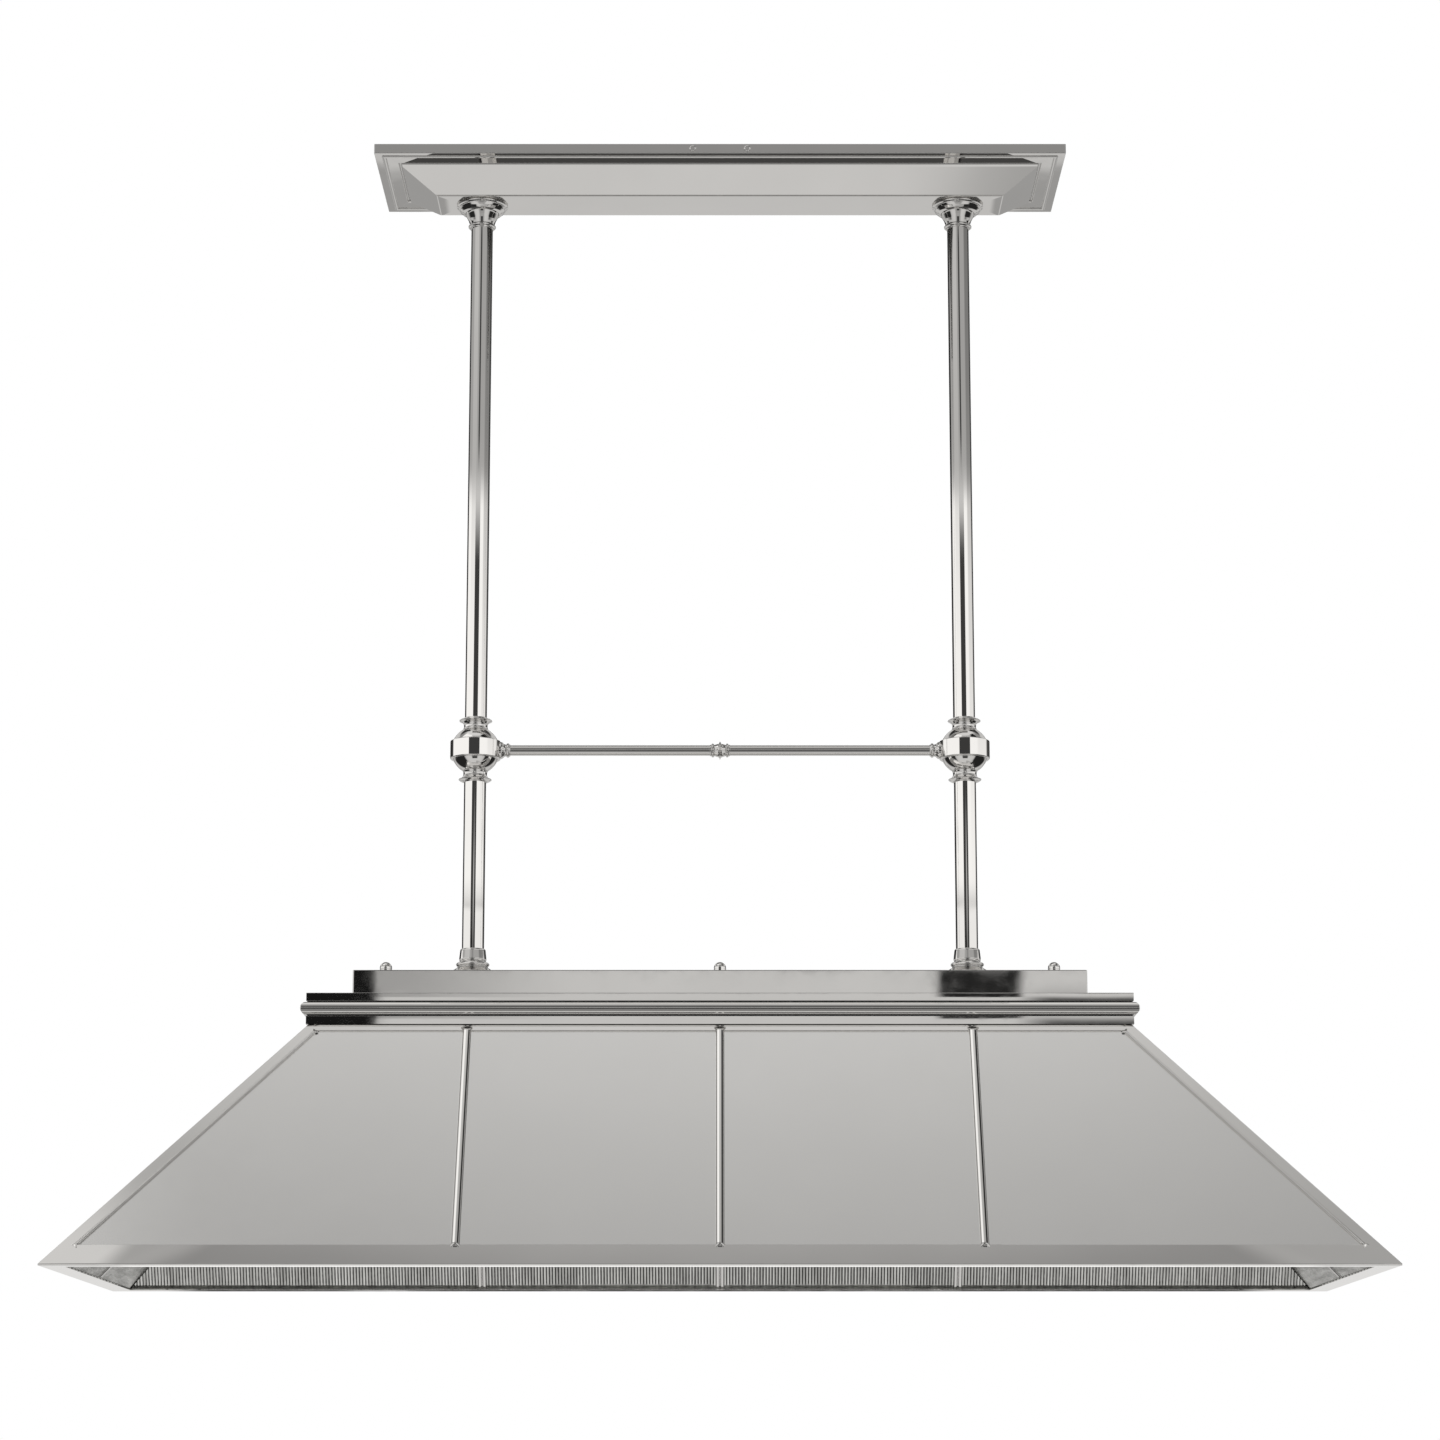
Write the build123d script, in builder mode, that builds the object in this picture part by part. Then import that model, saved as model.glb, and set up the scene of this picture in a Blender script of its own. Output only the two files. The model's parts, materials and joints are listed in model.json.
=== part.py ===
from build123d import *
import os
from math import asin, degrees, sqrt

# Linear pendant light for a kitchen island, with a hood-shaped shade.
# Millimetres. Z = 0 is the ceiling and +Z points up, X runs along the shade and Y through its depth.
# The origin is the middle of the junction box screws.

os.makedirs("parts", exist_ok=True)

# ---------------------------------------------------------------- driving dimensions
# Shade
shade_length = 1524.0  # over the rim
shade_depth = 508.0
shade_height = 290.0  # sloping sides, from the cornice to the rim
head_length = 967.0  # sloping sides where they meet the cornice
head_depth = 189.0
rim_lip = 2.0  # upright edge below the sloping sides, also the return flange's sheet
rim_band = 22.0  # height of the plain border above the rim
rim_flange = 26.0  # width of the return flange under the shade
head_band = 7.6  # height of the plain border under the cornice
head_flange = 20.0  # width of the flange that the cornice stands on
frame_sheet = 2.0
hip_border = 16.0  # each hip bar's width along X
hip_border_end = 12.0  # and along Y
panel_sheet = 1.2
panel_clearance = 0.4  # between a panel's lower edge and the return flange
rib_spacing = 297.0
rib_radius = 5.0
rib_rows = 1  # ribs each side of the middle one

# Ribbed mirror glass lining
glass_sheet = 3.5
glass_standoff = 11.5  # air behind the glass
glass_gap = 1.5  # between neighbouring panes
glass_head_gap = 8.0  # below the lamp tray
bar_width = 10.0
bar_sheet = 2.0

# Cornice and plinth
cornice_overhang = 3.0  # of the fascia beyond the head of the shade
fascia_height = 9.6
bead_height = 17.8
bead_proud = 6.4
bead_round = 6.2
fillet_margin = 0.1  # a fillet stops this far short of its wall
cornice_sheet = 2.0
plinth_length = 873.0
plinth_depth = 116.0
plinth_height = 32.8
plinth_sheet = 2.5
plinth_round = 1.5
plinth_drop = 1018.5  # ceiling to the top of the plinth

# Stems, hubs and crossbar
stem_spacing = 596.0
stem_diameter = 26.7
stem_wall = 2.0
fit = 0.05  # radial clearance of a stem in its socket
socket_wall = 1.8  # thinnest wall around a stem
socket_depth = 9.0
turned_edge = 1.0  # ease of a turned piece's square corners
stem_thread = 9.0  # of a stem below the plinth's top sheet
hub_drop = 740.0  # ceiling to the middle of the hubs
hub_radius = 29.6
belt_radius = 30.6
belt_height = 22.4
belt_chamfer = 0.5
hub_bore_radius = 7.0
ring_proud = 4.8  # of a coupling's ring beyond its neck
ring_height = 7.0
ring_land = 1.2
neck_height = 7.6
crossbar_diameter = 12.7
crossbar_wall = 1.2
crossbar_tenon = 8.0
crossbar_gap = 4.0  # between its two lengths, inside the knuckle
bar_socket_length = 12.0
bar_socket_radius = 10.4
bar_socket_bead = 1.3
bar_socket_sink = 3.0  # of the bell into the belt
bell_steps = (  # beyond the belt, then radius beyond the waist; None is the bell's own radius
    (2.5, None),
    (6.5, -0.4),
    (7.5, -0.4),
    (8.5, 0.8),
    (10.5, 0.8),
)
bell_lip_cut = 0.6
knuckle_length = 24.4
knuckle_sleeve = 0.9
knuckle_radius = 11.0
knuckle_curve = 9.4
collar_radius = 32.0
base_collar_height = 33.5
base_rim_wall = 1.0
base_cup_height = 15.0
base_cup_flare = 2.6
base_cup_lip = 1.4
base_neck = 0.4
base_ring_steps = (  # radius inside the ring's own, then drop below the cup
    (0.8, 2.2),
    (0.0, 3.2),
    (0.0, 5.2),
    (0.8, 6.2),
    (2.0, 6.8),
)
base_foot_drop = 8.6  # of the foot's top below the cup
base_foot_flare = 2.0
base_foot_steps = (6.4, 4.0, 3.0)  # heights above the plinth

# Canopy
canopy_length = 850.0
canopy_depth = 205.0
canopy_lip = 12.0
canopy_drop = 42.0  # ceiling to the flat underside
canopy_sheet = 2.0
flange_end = 32.0  # flange width at the ends, then at the front and back
flange_side = 40.0
body_run_end = 41.0  # run of the sloping faces, at the ends, then at the front and back
body_run_side = 28.0
moulding_height = 2.5
moulding_inset = 13.0

# Hang-straight swivels
ball_radius = 21.5
ball_clearance = 0.3
cup_wall = 2.7
cup_mouth = 5.0  # the ball's middle above the mouth
mouth_lip = 1.5
cup_ring_height = 6.5
collar_height = 5.0
wire_bore_radius = 6.0
ball_top = 12.0
cone_start = 7.0  # below the ball's middle
cone_length = 13.0
bead_step = 1.9
bead_length = 5.0
nut_height = 6.0
nut_wall = 7.0

# Ceiling bracket and wiring
bracket_sheet = 3.0
bracket_length = 330.0
bracket_width = 50.0
cross_width = 90.0
ear_height = 10.0
ear_gap = 0.2
box_screw_spacing = 88.9
box_screw_radius = 2.5
joist_screw_spacing = 290.0
joist_screw_radius = 3.3
wire_hole_radius = 12.0
canopy_screw_spacing = 67.0
canopy_screw_radius = 2.4
canopy_screw_head = 4.2
canopy_screw_round = 1.76
screw_clearance = 0.1
block_length = 46.0
block_depth = 20.0
block_height = 14.0
block_round = 2.0
ground_screw_offset = 65.0
cable_radius = 3.5
lead_radius = 2.0
lead_run = 30.0  # straight run at each end of the leads
lead_entry = 12.0  # from the stem's axis
lead_bend = 20.0
cable_tail = 2.0  # of the cable above the lamp tray

# Fixing rods, tray and lamps
rod_spacing = 402.5
rod_radius = 3.0
rod_clearance = 0.3
rod_end_gap = 1.0  # above a rod, inside its dome nut
rod_tail = 3.0  # of a rod below its nut
dome_radius = 7.3
dome_height = 18.0
washer_radius = 10.0
washer_height = 2.0
tray_sheet = 1.5
tray_margin = 8.0  # of the tray on the head flange
tray_nut_radius = 6.6
lamp_spacing = 230.0
lamp_pairs = 2
holder_radius = 21.0
holder_height = 44.0
holder_taper = 2.0
holder_flange = 6.0
holder_flange_height = 5.0
holder_well = 26.0
lamp_radius = 30.0
lamp_length = 85.0
lamp_neck_radius = 13.5
lamp_cap_height = 24.0
globe_arc = 125.0  # degrees of the globe's outline before the neck
lamp_seat = 0.3

# ---------------------------------------------------------------- levels and radii worked out
z_canopy = -canopy_drop
z_swing = z_canopy - collar_height - cup_ring_height + cup_mouth
z_hub = -hub_drop
z_plinth = -plinth_drop
z_cornice = z_plinth - plinth_height
z_shade = z_cornice - 2 * fascia_height - bead_height
z_rim = z_shade - shade_height
z_bottom = z_rim - rim_lip
z_tray = z_shade - frame_sheet
z_band = z_rim + rim_band
z_head = z_shade - head_band

run_x = (shade_length - head_length) / 2 / shade_height
run_y = (shade_depth - head_depth) / 2 / shade_height
far = 2 * shade_length

stem_radius = stem_diameter / 2
socket_radius = stem_radius + fit
neck_radius = socket_radius + socket_wall
crossbar_radius = crossbar_diameter / 2
seat_radius = ball_radius + ball_clearance
cup_radius = seat_radius + cup_wall
stem_places = {"left": -stem_spacing / 2, "right": stem_spacing / 2}
rib_places = [rib_spacing * k for k in range(-rib_rows, rib_rows + 1)]
rod_places = [-rod_spacing, 0.0, rod_spacing]
lamp_places = [lamp_spacing * (k + 0.5) for k in range(-lamp_pairs, lamp_pairs)]


# ---------------------------------------------------------------- helpers
def lathe_plane(x):
    """Upright plane whose local x is the radius from a stem's axis and local y is Z."""
    return Plane(origin=(x, 0, 0), x_dir=(1, 0, 0), z_dir=(0, -1, 0))


def stem_axis(x):
    return Axis((x, 0, 0), (0, 0, 1))


def turned(x, outline):
    """Solid turned about a stem's axis from (radius, z) points."""
    with BuildPart() as piece:
        with BuildSketch(lathe_plane(x)):
            with BuildLine():
                Polyline(*outline, close=True)
            make_face()
        revolve(axis=stem_axis(x))
    return piece.part


def hipped_block(top, bottom, z_top, z_bottom):
    """Solid between two level rectangles, each (length, depth), with four flat sides."""
    with BuildPart() as block:
        for plane, side in ((Plane.XZ, 0), (Plane.YZ, 1)):
            with BuildSketch(plane):
                with BuildLine():
                    Polyline(
                        (-top[side] / 2, z_top),
                        (top[side] / 2, z_top),
                        (bottom[side] / 2, z_bottom),
                        (-bottom[side] / 2, z_bottom),
                        close=True,
                    )
                make_face()
            extrude(amount=far, both=True, mode=Mode.ADD if side == 0 else Mode.INTERSECT)
    return block.part


def shade_size(z, inset):
    """Length and depth of the shade's sloping form at a level, this far inside its skin."""
    drop = z_shade - z
    length = head_length + 2 * (drop * run_x - inset * sqrt(1 + run_x**2))
    depth = head_depth + 2 * (drop * run_y - inset * sqrt(1 + run_y**2))
    return length, depth


def shade_shell(outer, inner, z_top, z_low):
    """Sloping shell between two depths below the shade's skin."""
    with BuildPart() as shell:
        add(hipped_block(shade_size(z_top, outer), shade_size(z_low, outer), z_top, z_low))
        add(
            hipped_block(shade_size(z_top, inner), shade_size(z_low, inner), z_top, z_low),
            mode=Mode.SUBTRACT,
        )
    return shell.part


def side_wedge(side):
    """Upright prism over one side of the shade, mitred along the hips."""
    ridge = head_length / 2 - head_depth / 2 * run_x / run_y
    reach_y = shade_depth
    reach_x = ridge + reach_y * run_x / run_y
    outlines = {
        "front": [(-ridge, 0), (-reach_x, -reach_y), (reach_x, -reach_y), (ridge, 0)],
        "back": [(-ridge, 0), (-reach_x, reach_y), (reach_x, reach_y), (ridge, 0)],
        "left": [(-ridge, 0), (-reach_x, -reach_y), (-reach_x, reach_y)],
        "right": [(ridge, 0), (reach_x, -reach_y), (reach_x, reach_y)],
    }
    with BuildPart() as wedge:
        with BuildSketch(Plane.XY.offset(z_bottom)):
            with BuildLine():
                Polyline(*outlines[side], close=True)
            make_face()
        extrude(amount=z_cornice - z_bottom)
    return wedge.part


def write(part, name):
    part.label = name
    export_step(part, f"parts/{name}.step")


# ---------------------------------------------------------------- ceiling bracket
lip_inside = canopy_depth / 2 - canopy_sheet
ear_face = lip_inside - ear_gap
z_lip_screw = -canopy_lip / 2

with BuildPart() as ceiling_bracket:
    with BuildSketch():
        Rectangle(bracket_length, bracket_width)
        Rectangle(cross_width, 2 * ear_face)
        Circle(wire_hole_radius, mode=Mode.SUBTRACT)
        with Locations((-box_screw_spacing / 2, 0), (box_screw_spacing / 2, 0)):
            Circle(box_screw_radius, mode=Mode.SUBTRACT)
        with Locations((-joist_screw_spacing / 2, 0), (joist_screw_spacing / 2, 0)):
            Circle(joist_screw_radius, mode=Mode.SUBTRACT)
        with Locations((ground_screw_offset, bracket_width / 4)):
            Circle(canopy_screw_radius + screw_clearance, mode=Mode.SUBTRACT)
    extrude(amount=-bracket_sheet)
    with BuildSketch(Plane.XY.offset(-bracket_sheet)):
        for side in (-1, 1):
            with Locations((0, side * (ear_face - bracket_sheet / 2))):
                Rectangle(cross_width, bracket_sheet)
    extrude(amount=-(ear_height - bracket_sheet))
    with BuildSketch(Plane.XZ):
        with Locations(
            (-canopy_screw_spacing / 2, z_lip_screw),
            (canopy_screw_spacing / 2, z_lip_screw),
        ):
            Circle(canopy_screw_radius + screw_clearance)
    extrude(amount=canopy_depth, both=True, mode=Mode.SUBTRACT)
write(ceiling_bracket.part, "ceiling_bracket")

# ---------------------------------------------------------------- canopy
z_flange = -canopy_lip
z_mould = z_flange - moulding_height
body_top = (canopy_length - 2 * flange_end, canopy_depth - 2 * flange_side)
body_bottom = (body_top[0] - 2 * body_run_end, body_top[1] - 2 * body_run_side)
lip_size = (canopy_length, canopy_depth)
mould_size = (canopy_length - 2 * moulding_inset, canopy_depth - 2 * moulding_inset)
z_inner = z_canopy + canopy_sheet
cavity = (canopy_length - 2 * canopy_sheet, canopy_depth - 2 * canopy_sheet)
body_cavity_top = (body_top[0] - 2 * canopy_sheet, body_top[1] - 2 * canopy_sheet)
body_cavity_bottom = (body_bottom[0] - canopy_sheet, body_bottom[1] - canopy_sheet)

with BuildPart() as canopy_pan:
    add(hipped_block(lip_size, lip_size, 0, z_flange))
    add(hipped_block(mould_size, body_top, z_flange, z_mould))
    add(hipped_block(body_top, body_bottom, z_mould, z_canopy))
    add(hipped_block(cavity, cavity, 0, z_flange + canopy_sheet), mode=Mode.SUBTRACT)
    add(
        hipped_block(body_cavity_top, body_cavity_bottom, z_flange + canopy_sheet, z_inner),
        mode=Mode.SUBTRACT,
    )
    with BuildSketch(Plane.XY.offset(z_canopy)):
        with Locations(*[(x, 0) for x in stem_places.values()]):
            Circle(cup_radius + fit)
    extrude(amount=canopy_drop, mode=Mode.SUBTRACT)
    with BuildSketch(Plane.XZ):
        with Locations(
            (-canopy_screw_spacing / 2, z_lip_screw),
            (canopy_screw_spacing / 2, z_lip_screw),
        ):
            Circle(canopy_screw_radius + 2 * screw_clearance)
    extrude(amount=canopy_depth, both=True, mode=Mode.SUBTRACT)
write(canopy_pan.part, "canopy_pan")

with BuildPart() as canopy_screws:
    for side in (-1, 1):
        for x in (-canopy_screw_spacing / 2, canopy_screw_spacing / 2):
            face = Plane(origin=(x, side * canopy_depth / 2, z_lip_screw), z_dir=(0, side, 0))
            with BuildSketch(face):
                Circle(canopy_screw_head)
            extrude(amount=canopy_screw_head / 2)
            with BuildSketch(face):
                Circle(canopy_screw_radius)
            extrude(amount=-(canopy_sheet + bracket_sheet + ear_gap))
    domes = canopy_screws.edges().filter_by(GeomType.CIRCLE).group_by(SortBy.RADIUS)[-1]
    outer = [e for e in domes if abs(e.center().Y) > canopy_depth / 2 + canopy_screw_head / 4]
    fillet(outer, radius=canopy_screw_round)
write(canopy_screws.part, "canopy_screws")

with BuildPart() as ground_screw:
    with BuildSketch(Plane.XY.offset(-bracket_sheet)):
        with Locations((ground_screw_offset, bracket_width / 4)):
            RegularPolygon(canopy_screw_head, 6)
    extrude(amount=-canopy_screw_head)
    with BuildSketch(Plane.XY.offset(-bracket_sheet)):
        with Locations((ground_screw_offset, bracket_width / 4)):
            Circle(canopy_screw_radius)
    extrude(amount=bracket_sheet)
write(ground_screw.part, "ground_screw")

block_x = -(wire_hole_radius + block_length / 2 + box_screw_spacing / 2)
block_low = -bracket_sheet - block_height
with BuildPart() as terminal_block:
    with BuildSketch(Plane.XY.offset(-bracket_sheet)):
        with Locations((block_x, 0)):
            Rectangle(block_length, block_depth)
    extrude(amount=-block_height)
    fillet(terminal_block.edges().filter_by(Axis.Z), radius=block_round)
    with BuildSketch(Plane.XY.offset(block_low)):
        with Locations((block_x, 0)):
            with GridLocations(block_length / 3, block_depth / 2, 3, 2):
                Circle(lead_radius)
    extrude(amount=block_height / 2, mode=Mode.SUBTRACT)
write(terminal_block.part, "terminal_block")

# ---------------------------------------------------------------- swivels
cup_top = z_swing + seat_radius + cup_wall
mouth_radius = cup_radius + mouth_lip
z_mouth = z_swing - cup_mouth
z_collar = z_canopy - collar_height
cone_top_radius = sqrt(ball_radius**2 - cone_start**2)
z_cone_top = z_swing - cone_start
z_cone_low = z_cone_top - cone_length
z_bead_low = z_cone_low - bead_length
z_stem_seat = z_bead_low + socket_depth
bead_radius = neck_radius + bead_step

for side, x in stem_places.items():
    with BuildPart() as swivel_cup:
        add(
            turned(
                x,
                [
                    (wire_bore_radius, cup_top),
                    (cup_radius, cup_top),
                    (cup_radius, z_canopy),
                    (collar_radius - turned_edge, z_canopy),
                    (collar_radius, z_canopy - turned_edge),
                    (collar_radius, z_collar + turned_edge),
                    (collar_radius - turned_edge, z_collar),
                    (mouth_radius + turned_edge, z_collar),
                    (mouth_radius, z_collar - turned_edge),
                    (mouth_radius, z_mouth + turned_edge),
                    (mouth_radius - turned_edge, z_mouth),
                    (wire_bore_radius, z_mouth),
                ],
            )
        )
        with Locations((x, 0, z_swing)):
            Sphere(seat_radius, mode=Mode.SUBTRACT)
    write(swivel_cup.part, f"swivel_cup_{side}")

    with BuildPart() as swivel_ball:
        with BuildSketch(lathe_plane(x)):
            with BuildLine():
                high = degrees(asin(ball_top / ball_radius))
                low = -degrees(asin(cone_start / ball_radius))
                dome = CenterArc((0, z_swing), ball_radius, high, low - high)
                Polyline(
                    dome @ 1,
                    (neck_radius, z_cone_low),
                    (bead_radius - turned_edge, z_cone_low),
                    (bead_radius, z_cone_low - turned_edge),
                    (bead_radius, z_bead_low + turned_edge),
                    (bead_radius - turned_edge, z_bead_low),
                    (socket_radius, z_bead_low),
                    (socket_radius, z_stem_seat),
                    (wire_bore_radius, z_stem_seat),
                    (wire_bore_radius, z_swing + ball_top),
                    dome @ 0,
                )
            make_face()
        revolve(axis=stem_axis(x))
    write(swivel_ball.part, f"swivel_ball_{side}")

with BuildPart() as swivel_nuts:
    with BuildSketch(Plane.XY.offset(z_inner)):
        with Locations(*[(x, 0) for x in stem_places.values()]):
            RegularPolygon(cup_radius + nut_wall, 6)
            Circle(cup_radius + fit, mode=Mode.SUBTRACT)
    extrude(amount=nut_height)
write(swivel_nuts.part, "swivel_nuts")

with BuildPart() as canopy_leads:
    lead_x = stem_places["left"]
    lead_z = cup_top + 2 * lead_radius
    block_end = block_x - block_length / 2
    with BuildLine() as lead_route:
        FilletPolyline(
            (block_end, 0, -bracket_sheet - block_height / 2),
            (block_end - lead_run, 0, -bracket_sheet - block_height / 2),
            (lead_x + lead_run, 0, lead_z),
            (lead_x + lead_entry, 0, lead_z),
            radius=lead_bend,
        )
    with BuildSketch(Plane(origin=lead_route.wire() @ 0, z_dir=lead_route.wire() % 0)):
        Circle(lead_radius)
    sweep()
write(canopy_leads.part, "canopy_leads")

# ---------------------------------------------------------------- stems and hubs
neck_seat = sqrt(hub_radius**2 - neck_radius**2)  # where the neck meets the ball
ring_seat = neck_seat + neck_height
ring_top = ring_seat + ring_height
ring_radius = neck_radius + ring_proud
hub_socket = neck_seat - socket_depth

for side, x in stem_places.items():
    inward = -1 if x > 0 else 1
    with BuildPart() as upper_stem:
        with BuildSketch(Plane.XY.offset(z_hub + hub_socket)):
            with Locations((x, 0)):
                Circle(stem_radius)
                Circle(stem_radius - stem_wall, mode=Mode.SUBTRACT)
        extrude(amount=z_stem_seat - z_hub - hub_socket)
    write(upper_stem.part, f"upper_stem_{side}")

    for name, up in (("upper_coupling", 1), ("lower_coupling", -1)):
        with BuildPart() as coupling:
            add(
                turned(
                    x,
                    [
                        (socket_radius, z_hub + up * neck_seat),
                        (neck_radius, z_hub + up * neck_seat),
                        (neck_radius, z_hub + up * ring_seat),
                        (ring_radius, z_hub + up * (ring_seat + ring_height / 2 - ring_land / 2)),
                        (ring_radius, z_hub + up * (ring_seat + ring_height / 2 + ring_land / 2)),
                        (neck_radius, z_hub + up * ring_top),
                        (socket_radius, z_hub + up * ring_top),
                    ],
                )
            )
        write(coupling.part, f"{name}_{side}")

    with BuildPart() as hub_ball:
        with Locations((x, 0, z_hub)):
            Sphere(hub_radius)
            Cylinder(belt_radius, belt_height)
            Cylinder(hub_bore_radius, 2 * hub_radius, mode=Mode.SUBTRACT)
        for up in (-1, 1):
            with BuildSketch(Plane.XY.offset(z_hub + up * hub_socket)):
                with Locations((x, 0)):
                    Circle(socket_radius)
            extrude(amount=up * hub_radius, mode=Mode.SUBTRACT)
            with BuildSketch(Plane.XY.offset(z_hub + up * neck_seat)):
                with Locations((x, 0)):
                    Circle(hub_radius)
            extrude(amount=up * hub_radius, mode=Mode.SUBTRACT)
        with BuildSketch(Plane.YZ.offset(x + inward * belt_radius)):
            with Locations((0, z_hub)):
                Circle(crossbar_radius + fit)
        extrude(amount=-inward * crossbar_tenon, mode=Mode.SUBTRACT)
        belts = hub_ball.edges().filter_by(GeomType.CIRCLE)
        chamfer([e for e in belts if abs(e.radius - belt_radius) < fit], length=belt_chamfer)
    write(hub_ball.part, f"hub_ball_{side}")

    socket_start = x + inward * (belt_radius - bar_socket_sink)
    socket_end = x + inward * (belt_radius + bar_socket_length)
    waist = crossbar_radius + fit + bar_socket_bead
    bell = [
        (
            x + inward * (belt_radius + beyond),
            z_hub + (bar_socket_radius if rise is None else waist + rise),
        )
        for beyond, rise in bell_steps
    ]
    with BuildPart() as bar_socket:
        with BuildSketch(Plane.XZ):
            with BuildLine():
                Polyline(
                    (socket_start, z_hub + crossbar_radius + fit),
                    (socket_start, z_hub + bar_socket_radius),
                    *bell,
                    (socket_end, z_hub + waist - bell_lip_cut),
                    (socket_end, z_hub + crossbar_radius + fit),
                    close=True,
                )
            make_face()
        revolve(axis=Axis((0, 0, z_hub), (1, 0, 0)))
        with Locations((x, 0, z_hub)):
            Cylinder(belt_radius, 4 * bar_socket_radius, mode=Mode.SUBTRACT)
    write(bar_socket.part, f"bar_socket_{side}")

    with BuildPart() as crossbar:
        with BuildSketch(Plane.YZ.offset(x + inward * (belt_radius - crossbar_tenon))):
            with Locations((0, z_hub)):
                Circle(crossbar_radius)
                Circle(crossbar_radius - crossbar_wall, mode=Mode.SUBTRACT)
        extrude(amount=inward * (stem_spacing / 2 - belt_radius + crossbar_tenon - crossbar_gap / 2))
    write(crossbar.part, f"crossbar_{side}")

    with BuildPart() as lower_stem:
        with BuildSketch(Plane.XY.offset(z_hub - hub_socket)):
            with Locations((x, 0)):
                Circle(stem_radius)
                Circle(stem_radius - stem_wall, mode=Mode.SUBTRACT)
        extrude(amount=z_plinth - plinth_sheet - stem_thread - z_hub + hub_socket)
    write(lower_stem.part, f"lower_stem_{side}")

    z_cup = z_plinth + base_collar_height
    z_cup_low = z_cup - base_cup_height
    foot_radius = neck_radius + base_cup_flare + ring_proud
    foot_high, foot_middle, foot_low = (z_plinth + rise for rise in base_foot_steps)
    with BuildPart() as base_collar:
        add(
            turned(
                x,
                [
                    (socket_radius, z_cup),
                    (stem_radius + base_rim_wall, z_cup),
                    (neck_radius + base_cup_flare - base_cup_lip, z_cup_low),
                    (neck_radius + base_neck, z_cup_low - turned_edge),
                    *[(ring_radius - inset, z_cup_low - drop) for inset, drop in base_ring_steps],
                    (foot_radius, z_cup_low - base_foot_drop),
                    (foot_radius + base_foot_flare, foot_high),
                    (collar_radius - turned_edge, foot_middle),
                    (collar_radius, foot_low),
                    (collar_radius, z_plinth),
                    (socket_radius, z_plinth),
                ],
            )
        )
    write(base_collar.part, f"base_collar_{side}")

with BuildPart() as bar_knuckle:
    sleeve_radius = crossbar_radius + fit + knuckle_sleeve
    with BuildSketch(Plane.XZ):
        with BuildLine():
            Polyline(
                (0, z_hub + knuckle_radius),
                (0, z_hub + crossbar_radius + fit),
                (knuckle_length / 2, z_hub + crossbar_radius + fit),
                (knuckle_length / 2, z_hub + sleeve_radius),
                (knuckle_length / 4, z_hub + sleeve_radius),
            )
            RadiusArc(
                (knuckle_length / 4, z_hub + sleeve_radius),
                (0, z_hub + knuckle_radius),
                radius=-knuckle_curve,
            )
        make_face()
    revolve(axis=Axis((0, 0, z_hub), (1, 0, 0)))
    mirror(about=Plane.YZ)
write(bar_knuckle.part, "bar_knuckle")

with BuildPart() as stem_nuts:
    with BuildSketch(Plane.XY.offset(z_plinth - plinth_sheet)):
        with Locations(*[(x, 0) for x in stem_places.values()]):
            RegularPolygon(stem_radius + nut_wall, 6)
            Circle(socket_radius, mode=Mode.SUBTRACT)
    extrude(amount=-nut_height)
write(stem_nuts.part, "stem_nuts")

with BuildPart() as supply_cable:
    with BuildSketch(Plane.XY.offset(z_swing + ball_top)):
        with Locations((stem_places["left"], 0)):
            Circle(cable_radius)
    extrude(amount=z_tray + cable_tail - z_swing - ball_top)
write(supply_cable.part, "supply_cable")

# ---------------------------------------------------------------- plinth and cornice
with BuildPart() as plinth:
    with BuildSketch(Plane.XY.offset(z_cornice)):
        Rectangle(plinth_length, plinth_depth)
    extrude(amount=plinth_height)
    fillet(plinth.edges().filter_by(Axis.Z), radius=plinth_round)
    with BuildSketch(Plane.XY.offset(z_cornice)):
        Rectangle(plinth_length - 2 * plinth_sheet, plinth_depth - 2 * plinth_sheet)
    extrude(amount=plinth_height - plinth_sheet, mode=Mode.SUBTRACT)
    with BuildSketch(Plane.XY.offset(z_cornice)):
        with Locations(*[(x, 0) for x in stem_places.values()]):
            Circle(socket_radius)
        with Locations(*[(x, 0) for x in rod_places]):
            Circle(rod_radius + rod_clearance)
    extrude(amount=plinth_height, mode=Mode.SUBTRACT)
write(plinth.part, "plinth")

cornice_length = head_length + 2 * cornice_overhang
cornice_depth = head_depth + 2 * cornice_overhang
with BuildPart() as cornice_band:
    with BuildSketch(Plane.XY.offset(z_shade)):
        Rectangle(cornice_length, cornice_depth)
    extrude(amount=z_cornice - z_shade)
    with BuildSketch(Plane.XY.offset(z_shade)):
        Rectangle(cornice_length - 2 * cornice_sheet, cornice_depth - 2 * cornice_sheet)
    extrude(amount=z_cornice - cornice_sheet - z_shade, mode=Mode.SUBTRACT)
    with BuildSketch(Plane.XY.offset(z_shade)):
        with Locations(*[(x, 0) for x in rod_places]):
            Circle(rod_radius + rod_clearance)
        with Locations(*[(x, 0) for x in stem_places.values()]):
            Circle(hub_bore_radius)
    extrude(amount=z_cornice - z_shade, mode=Mode.SUBTRACT)
write(cornice_band.part, "cornice_band")

with BuildPart() as cornice_bead:
    with BuildSketch(Plane.XY.offset(z_shade + fascia_height)):
        Rectangle(cornice_length + 2 * bead_proud, cornice_depth + 2 * bead_proud)
    extrude(amount=bead_height)
    rims = cornice_bead.faces().filter_by(Axis.Z).edges()
    fillet(rims, radius=min(bead_round, bead_proud - fillet_margin, bead_height / 2 - fillet_margin))
    with BuildSketch(Plane.XY.offset(z_shade + fascia_height)):
        Rectangle(cornice_length, cornice_depth)
    extrude(amount=bead_height, mode=Mode.SUBTRACT)
write(cornice_bead.part, "cornice_bead")

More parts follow.
